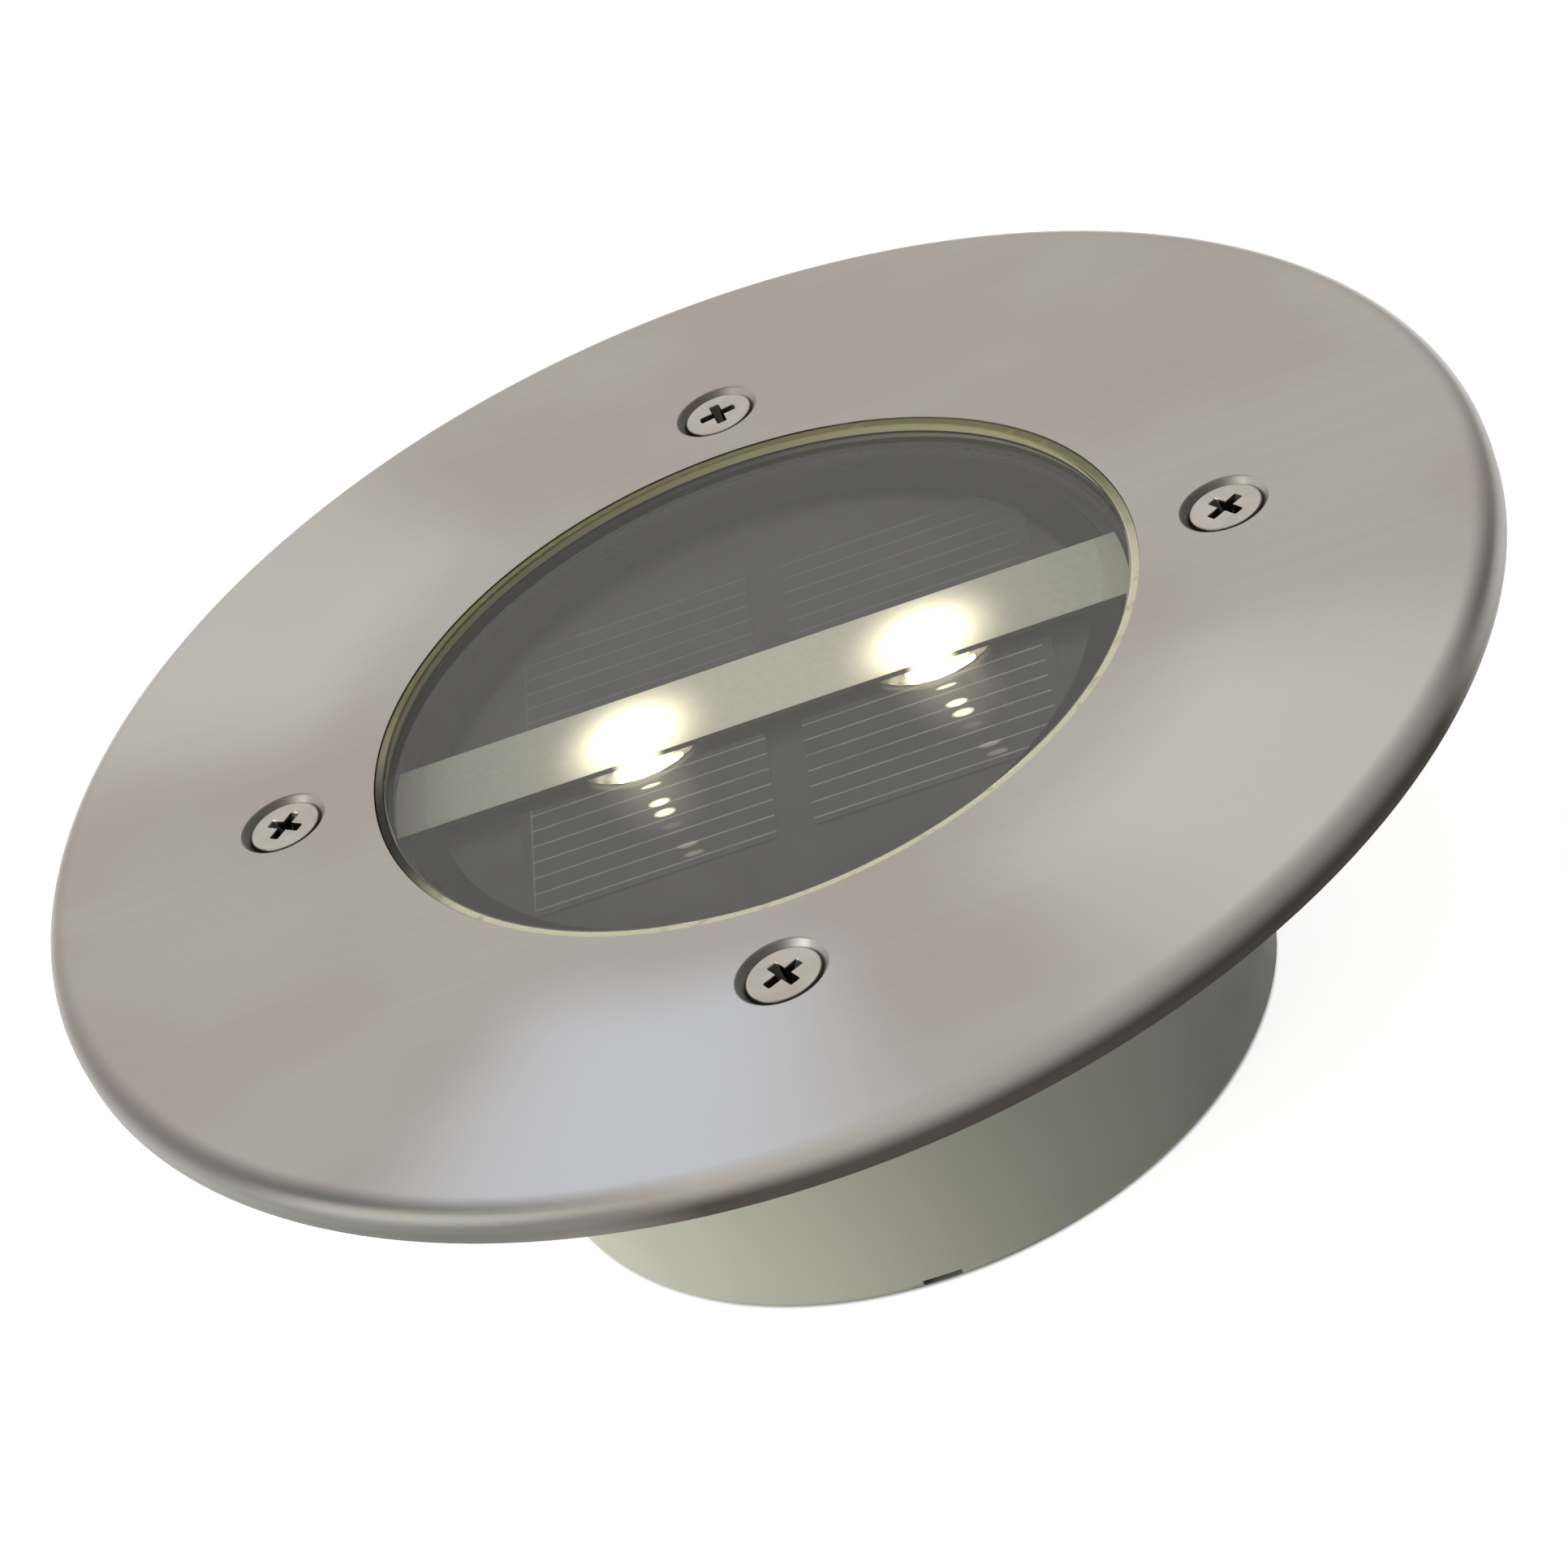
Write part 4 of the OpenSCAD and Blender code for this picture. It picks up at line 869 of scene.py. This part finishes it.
class LIGHT_OT_cover_screws(bpy.types.Operator):
    """Model the four countersunk screws, with cross recess and thread"""
    bl_idname = "ground_light.cover_screws"
    bl_label = "Cover screws"

    def execute(self, context):
        sizes, colours = context.scene.light_sizes, context.scene.light_colours
        top, tip = screws_high.z, screws_low.z
        head, thread = sizes.head_radius, sizes.screw_radius
        cone = head - thread
        edge, round_over, rim = 0.3 * MM, 0.28 * MM, head - 0.03 * MM
        profile = [(rim - 0.6 * MM, top)] + arc(round_over, 90, 0, 5, (rim - round_over, top - round_over))
        drilled = turned("cover_screw", profile + [
            (rim, top - edge), (thread, top - edge - cone), (thread * 0.9, top - edge - cone - 0.3 * MM)],
            SMALL_SWEEP)
        cone += edge
        for half in range(2):
            machine(drilled, self.recess_arm(head, top, half * math.pi / 2))
        polish(drilled, 0.05 * MM, 2, 30)
        pitch, bottom, thread_top = 0.5 * MM, tip + 1 * MM, top - cone - 0.4 * MM
        shank = [(thread * 0.85, top - cone - 0.2 * MM)]
        turns = int((thread_top - bottom) / pitch)
        for i in range(turns):
            height = thread_top - i * pitch
            shank += [(thread * 0.82, height), (thread * 0.99, height - pitch * 0.4),
                      (thread * 0.99, height - pitch * 0.55)]
        shank += [(thread * 0.8, bottom), (thread * 0.33, tip)]
        screw = weld("cover_screw", [drilled, polish(turned("shank", shank, 32))])
        finish = metal("nickel_plated_steel", colours.plating, 0.2, 0.714, 0.2, top - 0.025 * MM)
        turns_at_rest = (0.62, 0.2, 0.95, 0.55)
        for i in range(sizes.bosses):
            at = 2 * math.pi * i / sizes.bosses
            twin = copy_of(screw, f"cover_screw_{i + 1}", turns_at_rest[i % 4])
            twin.data.transform(Matrix.Translation(
                (sizes.screw_circle * math.cos(at), sizes.screw_circle * math.sin(at), 0)))
            place(twin, "cover", "screw_steel", finish, "cover_screws")
        bpy.data.objects.remove(screw)
        return {"FINISHED"}

    @staticmethod
    def recess_arm(head, top, turn):
        """One tapered arm pair of the cross recess, as a tool."""
        long, wide, deep = head * 0.6, head * 0.155, 1.3 * MM
        tool = block("recess", (-long, -wide, top - deep), (long, wide, top + 0.2 * MM))
        with editing(tool):
            select_where(tool, lambda v: v.co.z < top)
            bpy.ops.transform.resize(value=(0.32, 0.62, 1), center_override=(0, 0, top))
            bpy.ops.mesh.select_mode(type="EDGE")
            select_where(tool, lambda e: abs((e.verts[0].co - e.verts[1].co).normalized().z) > 0.6, "edges")
            bpy.ops.mesh.bevel(offset=0.12 * MM, segments=2)
        tool.data.transform(Matrix.Rotation(turn, 4, "Z"))
        return tool


class LIGHT_OT_seal(bpy.types.Operator):
    """Model the cream seal and the flat gasket"""
    bl_idname = "ground_light.seal"
    bl_label = "Seal and gasket"

    def execute(self, context):
        sizes, colours = context.scene.light_sizes, context.scene.light_colours
        # The soft lip presses a little into the window's edge, so that it shows through it
        inner, outer = sizes.window_radius - 0.1 * MM, sizes.opening_radius - 0.02 * MM
        under, edge = plate_high.z - sizes.sheet, 0.12 * MM
        profile = [(inner, seal_low.z), (seal_high.x, seal_low.z), (seal_high.x, under), (outer, under)]
        profile += arc(edge, 0, 90, 3, (outer - edge, seal_high.z - edge))
        profile += arc(edge, 90, 180, 3, (inner + edge, seal_high.z - edge))
        seal = polish(turned("window_seal_ring", profile, ring=True), 0.0)
        seal.data.transform(Matrix.Translation((sizes.off_right, sizes.off_back, 0)))
        place(seal, "unit", "cream_silicone", silicone(colours), "window_seal")
        rubber = moulded_plastic("closed_cell_rubber", srgb("#191919"), 0.75, 0.4, 0.1)
        dressed("cup_body", ("flange_gasket_ring", "flange_gasket", 0.15, 2, "black_rubber", rubber))
        return {"FINISHED"}


class LIGHT_OT_window(bpy.types.Operator):
    """Model the clear window with its flange and ring"""
    bl_idname = "ground_light.window"
    bl_label = "Window"

    def execute(self, context):
        sizes = context.scene.light_sizes
        top, low, radius = window_high.z, window_low.z, sizes.window_radius
        under, ring, flange = top - sizes.window_thickness, sizes.window_ring, window_high.x
        flange_top, seat = seal_low.z, radius - 0.1 * MM
        profile = [(ring - 6 * MM, under), (seat, under), (seat, low), (flange, low), (flange, flange_top),
                   (radius, flange_top)]
        profile += arc(0.3 * MM, 0, 90, 4, (radius - 0.3 * MM, top - 0.3 * MM)) + [(radius - 6 * MM, top)]
        window = polish(turned("clear_window", profile), 0.0, angle=25)
        window.data.transform(Matrix.Translation((sizes.off_right, sizes.off_back, 0)))
        place(window, "unit", "clear_window", clear_plastic(), "window")
        # The ring under the window is glued to what it stands on, and its edges hardly show
        edge, lid = seat - 0.02 * MM, under - 0.02 * MM
        glued = turned("clear_window_ring", [(ring, low), (edge, low), (edge, lid), (ring, lid)], ring=True)
        glued.data.transform(Matrix.Translation((sizes.off_right, sizes.off_back, 0)))
        place(polish(glued, 0.0), "unit", "clear_window", glued_plastic(), "window")
        return {"FINISHED"}


class LIGHT_OT_light_bar(bpy.types.Operator):
    """Model the pale bar that the lamps shine through"""
    bl_idname = "ground_light.light_bar"
    bl_label = "Light bar"

    def execute(self, context):
        sizes, colours = context.scene.light_sizes, context.scene.light_colours
        bar = bar_stock("frosted_light_bar", bar_high.x, bar_low.z, bar_high.z, sides=SWEEP)
        cut_off(bar, bar_low.y, -1)
        cut_off(bar, bar_high.y, 1)
        # The lamp's round end fills the bore
        bore = sizes.lamp_radius * 0.8
        for side in (-1, 1):
            at = (sizes.lamp_shift + side * sizes.lamp_spacing, 0)
            machine(bar, bar_stock("bore", bore, bar_low.z - 1 * MM, bar_high.z + 1 * MM, at))
        polish(bar, 0.0, angle=40)
        place(bar, "unit", "pale_bar", frosted_bar(sizes, colours), "light_bar")
        return {"FINISHED"}


class LIGHT_OT_lamps(bpy.types.Operator):
    """Model the two lit lamps, their clear ribbed collars and their leads"""
    bl_idname = "ground_light.lamps"
    bl_label = "Lamps and collars"

    def execute(self, context):
        sizes, colours = context.scene.light_sizes, context.scene.light_colours
        body, low, high = sizes.lamp_radius, lamps_low.z, lamps_high.z
        foot = 2.9 * MM
        lamp_profile = [(foot - 0.15 * MM, low), (foot, low + 0.15 * MM), (foot, low + 0.85 * MM),
                        (foot - 0.15 * MM, low + 1 * MM), (body, low + 1 * MM), (body, high - body - 2 * MM)]
        lamp_profile += arc(body, 0, 86, 14, (0, high - body))
        glow = lit_lamp(colours)
        clear = lit_collar(sizes, colours)
        lid = collars_high.z
        floor = lid - sizes.collar_height
        bore, wall = foot + 0.05 * MM + sizes.collar_back, sizes.collar_radius - 0.06 * MM
        for i, side in enumerate((-1, 1)):
            at = (sizes.lamp_shift + side * sizes.lamp_spacing, 0)
            lamp = polish(turned(f"lamp_{i + 1}", lamp_profile, SMALL_SWEEP, at))
            place(lamp, "unit", "lamp_lens", glow, "lamps")
            collar = turned(f"lamp_collar_{i + 1}", [
                (bore, floor), (wall, floor), (wall, lid - 0.12 * MM), (wall - 0.12 * MM, lid), (bore, lid)],
                SWEEP, (at[0], sizes.collar_back), ring=True)
            # Ribs round the outside, drawn out of the wall in code
            for vertex in collar.data.vertices:
                arm = Vector((vertex.co.x - at[0], vertex.co.y - sizes.collar_back, 0))
                if arm.length > wall - 0.2 * MM:
                    rib = max(0.0, math.cos(24 * math.atan2(arm.y, arm.x))) ** 2 * 0.06 * MM
                    vertex.co += arm.normalized() * rib
            # The bar covers its far side
            cut_off(collar, bar_high.y - 0.2 * MM, 1)
            polish(collar, 0.0, angle=50)
            place(collar, "unit", "clear_collar", clear, "lamp_collars")
        tinned = metal("tinned_copper", srgb("#C9C7C2"), 0.3)
        dressed("unit", ("lamp_lead_wires", "lamp_leads", 0.05, 1, "tinned_wire", tinned))
        return {"FINISHED"}


class LIGHT_OT_solar_panel(bpy.types.Operator):
    """Finish the solar cells, their board and the ring that holds them"""
    bl_idname = "ground_light.solar_panel"
    bl_label = "Solar panel"

    def execute(self, context):
        sizes, colours = context.scene.light_sizes, context.scene.light_colours
        cells = refined("solar_cell_wafers", "solar_cells", 0.05 * MM, 1)
        # The resin between the cells hides most of their thickness
        for vertex in cells.data.vertices:
            vertex.co.z = min(vertex.co.z, cells_low.z + 0.06 * MM)
        silicon = cell_finish("silicon_under_resin", colours.cell, sizes, colours, True)
        place(cells, "unit", "solar_cell", silicon, "solar_cells")
        backing = cell_finish("black_board_under_resin", colours.board, sizes, colours, False)
        matt = moulded_plastic("matt_black_abs", srgb("#131412"), 0.7, shine=0.1)
        dressed("unit", ("solar_board_disc", "solar_board", 0.1, 2, "panel_board", backing),
                ("panel_retaining_ring", "panel_retainer", 0.1, 2, "black_plastic", matt))
        return {"FINISHED"}


class LIGHT_OT_cup(bpy.types.Operator):
    """Model the moulded cup with its flange, bosses, ribs, notch and slot"""
    bl_idname = "ground_light.cup"
    bl_label = "Cup"

    def execute(self, context):
        finish = moulded_plastic("moulded_off_white_abs", context.scene.light_colours.cup, 0.42, 0.7, 0.03,
                                 translucent=0.04, paint=cup_painted_shade)
        dressed("cup_body", ("moulded_cup", "cup", 0.18, 2, "cup_plastic", finish))
        return {"FINISHED"}


class LIGHT_OT_carrier(bpy.types.Operator):
    """Finish the carrier, the circuit board and what stands on it"""
    bl_idname = "ground_light.carrier"
    bl_label = "Carrier and circuit board"

    def execute(self, context):
        black = moulded_plastic("moulded_black_abs", context.scene.light_colours.black)
        zinc = metal("zinc_plated_steel", srgb("#C4C6C8"), 0.28)
        chip = moulded_plastic("moulded_epoxy", srgb("#17181A"), 0.55, 1.2)
        winding = metal("enamelled_copper", srgb("#7A3B1C"), 0.35, 0.4, 0.4)
        sleeve = wire_finish("blue_shrink_sleeve", srgb("#1B2452"))
        dressed("unit", ("carrier_moulding", "carrier", 0.2, 2, "black_plastic", black),
                ("circuit_board_sheet", "circuit_board", 0.08, 1, "green_board", circuit_finish()),
                ("circuit_board_screws", "board_screws", 0.08, 2, "screw_zinc", zinc),
                ("battery_holder_screws", "holder_screws", 0.08, 2, "screw_zinc", zinc),
                ("driver_chip_case", "driver_chip", 0.06, 2, "chip_black", chip),
                ("wound_choke", "inductor", 0.1, 2, "choke_winding", winding),
                ("capacitor_can", "capacitor", 0.3, 3, "capacitor_sleeve", sleeve),
                ("chip_resistors", "resistors", 0.06, 2, "chip_black", chip))
        return {"FINISHED"}


class LIGHT_OT_wires(bpy.types.Operator):
    """Model the insulated wires inside the light"""
    bl_idname = "ground_light.wires"
    bl_label = "Wires"

    def execute(self, context):
        red = wire_finish("red_pvc", srgb("#A81F18"))
        black = wire_finish("black_pvc", srgb("#1B1B1C"))
        orange = wire_finish("orange_pvc", srgb("#D9741C"))
        radius = 0.6 * MM
        for name, node, finish, slot in (
                ("panel_lead_red", "panel_wire_red", red, "red_wire"),
                ("panel_lead_black", "panel_wire_black", black, "black_wire")):
            low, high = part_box(node)
            x, y = (low.x + high.x) / 2, (low.y + high.y) / 2
            points = [(x, y, low.z), (x, y, low.z + 1 * MM), (x + 0.05 * MM, y, (low.z + high.z) / 2),
                      (x, y, high.z - 1 * MM), (x, y, high.z)]
            place(tube(name, points, radius), "unit", slot, finish, node)
        for name, node, finish, slot, side in (
                ("battery_lead_red", "battery_wire_red", red, "red_wire", 1),
                ("battery_lead_black", "battery_wire_black", black, "black_wire", -1)):
            low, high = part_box(node)
            outer, inner = (high.x, low.x) if side > 0 else (low.x, high.x)
            level = low.z + radius
            x = inner + side * radius
            points = [(outer, 0, level), (outer - side * 2 * MM, 0, level), (x + side * 1.4 * MM, 0, level),
                      (x + side * 0.3 * MM, 0, level + 0.05 * MM), (x, 0, level + 0.5 * MM), (x, 0, high.z)]
            place(tube(name, points, radius), "unit", slot, finish, node)
        low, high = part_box("switch_wires")
        for i, x in enumerate((low.x + radius, high.x - radius)):
            y_far, y_near, level = high.y - radius, low.y + radius, high.z - 1.2 * MM
            points = [(x, y_far, low.z), (x, y_far, low.z + 3 * MM), (x, y_far, level - 2.5 * MM),
                      (x, y_far, level), (x, y_far - 2.5 * MM, level), (x, (y_far + y_near) / 2, level),
                      (x, y_near + 1 * MM, level), (x, y_near, level), (x, y_near, level + 0.5 * MM),
                      (x, y_near, high.z)]
            place(tube(f"switch_lead_{i + 1}", points, radius), "unit", "orange_wire", orange, "switch_wires")
        return {"FINISHED"}


class LIGHT_OT_battery(bpy.types.Operator):
    """Model the battery, its holder, its contacts and its spring"""
    bl_idname = "ground_light.battery"
    bl_label = "Battery and holder"

    def execute(self, context):
        white = moulded_plastic("moulded_white_abs", srgb("#D5D5CF"), 0.4, 0.6, 0.02)
        nickel = metal("nickel_plated_spring_steel", srgb("#CFC9BE"), 0.22)
        dressed("unit", ("battery_holder_moulding", "battery_holder", 0.0, 2, "white_plastic", white),
                ("battery_cell", "battery", 0.5, 4, "battery_sleeve", battery_finish()),
                ("battery_button_cap", "battery_button", 0.3, 3, "nickel_contact", nickel),
                ("contact_plate_strip", "contact_plate", 0.08, 2, "nickel_contact", nickel),
                ("spring_plate_strip", "spring_plate", 0.08, 2, "nickel_contact", nickel))
        # The spring is a cone of 2.5 turns that narrows toward the battery
        low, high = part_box("contact_spring")
        wire, turns, steps, wide, narrow = 0.25 * MM, 2.5, 60, 4.25 * MM, 2.5 * MM
        centre = (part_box("battery")[0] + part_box("battery")[1]) / 2
        points = []
        for i in range(steps + 1):
            u = i / steps
            radius = (1 - u) * wide + u * narrow
            swing = 2 * math.pi * turns * u
            points.append((low.x + wire + u * (high.x - low.x - 2 * wire), radius * math.cos(swing),
                           centre.z + radius * math.sin(swing)))
        spring = tube("contact_spring_coil", points, wire)
        place(spring, "unit", "nickel_contact", nickel, "contact_spring")
        return {"FINISHED"}


class LIGHT_OT_switch(bpy.types.Operator):
    """Finish the slide switch and its knob"""
    bl_idname = "ground_light.switch"
    bl_label = "Switch"

    def execute(self, context):
        black = bpy.data.materials["moulded_black_abs"]
        case = moulded_plastic("moulded_nylon", srgb("#26272A"), 0.5, 0.9)
        tinned = bpy.data.materials["tinned_copper"]
        dressed("unit", ("slide_switch_case", "switch_body", 0.12, 2, "switch_black", case),
                ("slide_switch_pins", "switch_pins", 0.05, 1, "tinned_wire", tinned))
        dressed("knob", ("slide_switch_knob", "switch_knob", 0.1, 2, "black_plastic", black))
        return {"FINISHED"}


class LIGHT_OT_stage(bpy.types.Operator):
    """Set the floor, the soft light and the camera"""
    bl_idname = "ground_light.stage"
    bl_label = "Stage"

    def execute(self, context):
        self.floor()
        self.world(context)
        self.lamp("key_softbox", (-0.75, -0.45, 0.36), 0.7, 4.5, "#FFFDF6")
        self.camera(context)
        context.scene.view_settings.view_transform = "Standard"
        return {"FINISHED"}

    @staticmethod
    def floor():
        """White paper that hides its own shading from the camera, with a dark patch under the cup."""
        floor = circle("floor", 4.0, -0.02 * MM, 96, fill="NGON")
        finish, tree = new_finish("pale_floor")
        paper = pattern(tree, 333.3, 2)
        lit = add(tree, "BsdfPrincipled", inputs={
            "Base Color": clouded(tree, paper, srgb("#A8A8A7"), srgb("#A4A4A3")), "Roughness": 0.9})
        path = add(tree, "LightPath")
        direct = add(tree, "Math", path.outputs["Is Camera Ray"], path.outputs["Is Glossy Ray"], **LARGER)
        seen = add(tree, "Math", direct, path.outputs["Is Transmission Ray"], **LARGER)
        # Under the cup the floor stays in shade
        open_floor = add(tree, "MapRange", plan(tree).radius, 31.45 * MM, 31.95 * MM, 0.0, 0.88)
        white = add(tree, "Emission", (1, 1, 1, 1), add(tree, "Math", seen, open_floor, **TIMES))
        add(tree, "OutputMaterial", add(tree, "AddShader", lit, white))
        floor.data.materials.append(finish)

    @staticmethod
    def world(context):
        """A pale studio: bright up and to the back left, dim and cool low down at the front and the right."""
        world = bpy.data.worlds.new("studio")
        world.use_nodes = True
        tree = world.node_tree
        tree.nodes.clear()
        spot = add(tree, "TexCoord")
        aim = Vector((-0.5, 0.45, 0.74)).normalized()
        match = add(tree, "VectorMath", spot.outputs["Generated"], aim, operation="DOT_PRODUCT")
        level = add(tree, "MapRange", match.outputs["Value"], -0.4, 0.7, **SMOOTH)
        tone = painted(tree, srgb("#43474B"), srgb("#DAD8D5"), level)
        add(tree, "OutputWorld", add(tree, "Background", tone, 0.98))
        context.scene.world = world

    @staticmethod
    def lamp(name, place_at, size, power, hex_colour):
        """A square softbox that points at the object."""
        data = bpy.data.lights.new(name, "AREA")
        data.size = size
        data.energy = power
        data.color = srgb(hex_colour)[:3]
        lamp = bpy.data.objects.new(name, data)
        lamp.location = place_at
        aim = Vector((0, 0, 0.02)) - Vector(place_at)
        lamp.rotation_euler = aim.to_track_quat("-Z", "Y").to_euler()
        bpy.context.scene.collection.objects.link(lamp)

    @staticmethod
    def camera(context):
        """The camera at the photograph's angle, as fitted to the plate, the opening and the screws."""
        data = bpy.data.cameras.new("photo_camera")
        sensor, focal_length, photo_width = 36.0, 5554.6, 1932  # mm, and two sizes in the photograph's pixels
        data.sensor_width = sensor
        data.lens = sensor * focal_length / photo_width
        camera = bpy.data.objects.new("photo_camera", data)
        right = Vector((0.9387, -0.0711, -0.33732))
        down = Vector((-0.315, -0.5744, -0.75554))
        forward = Vector((-0.14004, 0.81548, -0.56159))
        turn = Matrix((right, -down, -forward)).transposed()
        camera.matrix_world = Matrix.Translation((0.0493, -0.2935, 0.22944)) @ turn.to_4x4()
        context.scene.collection.objects.link(camera)
        context.scene.camera = camera


class LIGHT_PT_panel(bpy.types.Panel):
    """Lists the operators in the 3D view's sidebar"""
    bl_idname = "LIGHT_PT_panel"
    bl_label = "In-ground light"
    bl_space_type = "VIEW_3D"
    bl_region_type = "UI"
    bl_category = "In-ground light"

    def draw(self, context):
        for operator in OPERATORS:
            self.layout.operator(operator.bl_idname)


OPERATORS = (
    LIGHT_OT_cover_plate, LIGHT_OT_cover_screws, LIGHT_OT_seal, LIGHT_OT_window, LIGHT_OT_light_bar,
    LIGHT_OT_lamps, LIGHT_OT_solar_panel, LIGHT_OT_cup, LIGHT_OT_carrier, LIGHT_OT_wires, LIGHT_OT_battery,
    LIGHT_OT_switch, LIGHT_OT_stage)
CLASSES = (LightSizes, LightColours) + OPERATORS + (LIGHT_PT_panel,)


def register():
    for item in CLASSES:
        bpy.utils.register_class(item)
    bpy.types.Scene.light_sizes = PointerProperty(type=LightSizes)
    bpy.types.Scene.light_colours = PointerProperty(type=LightColours)


def unregister():
    del bpy.types.Scene.light_colours
    del bpy.types.Scene.light_sizes
    for item in reversed(CLASSES):
        bpy.utils.unregister_class(item)


def main():
    register()
    for operator in OPERATORS:
        group, name = operator.bl_idname.split(".")
        getattr(getattr(bpy.ops, group), name)()


if __name__ == "__main__":
    main()
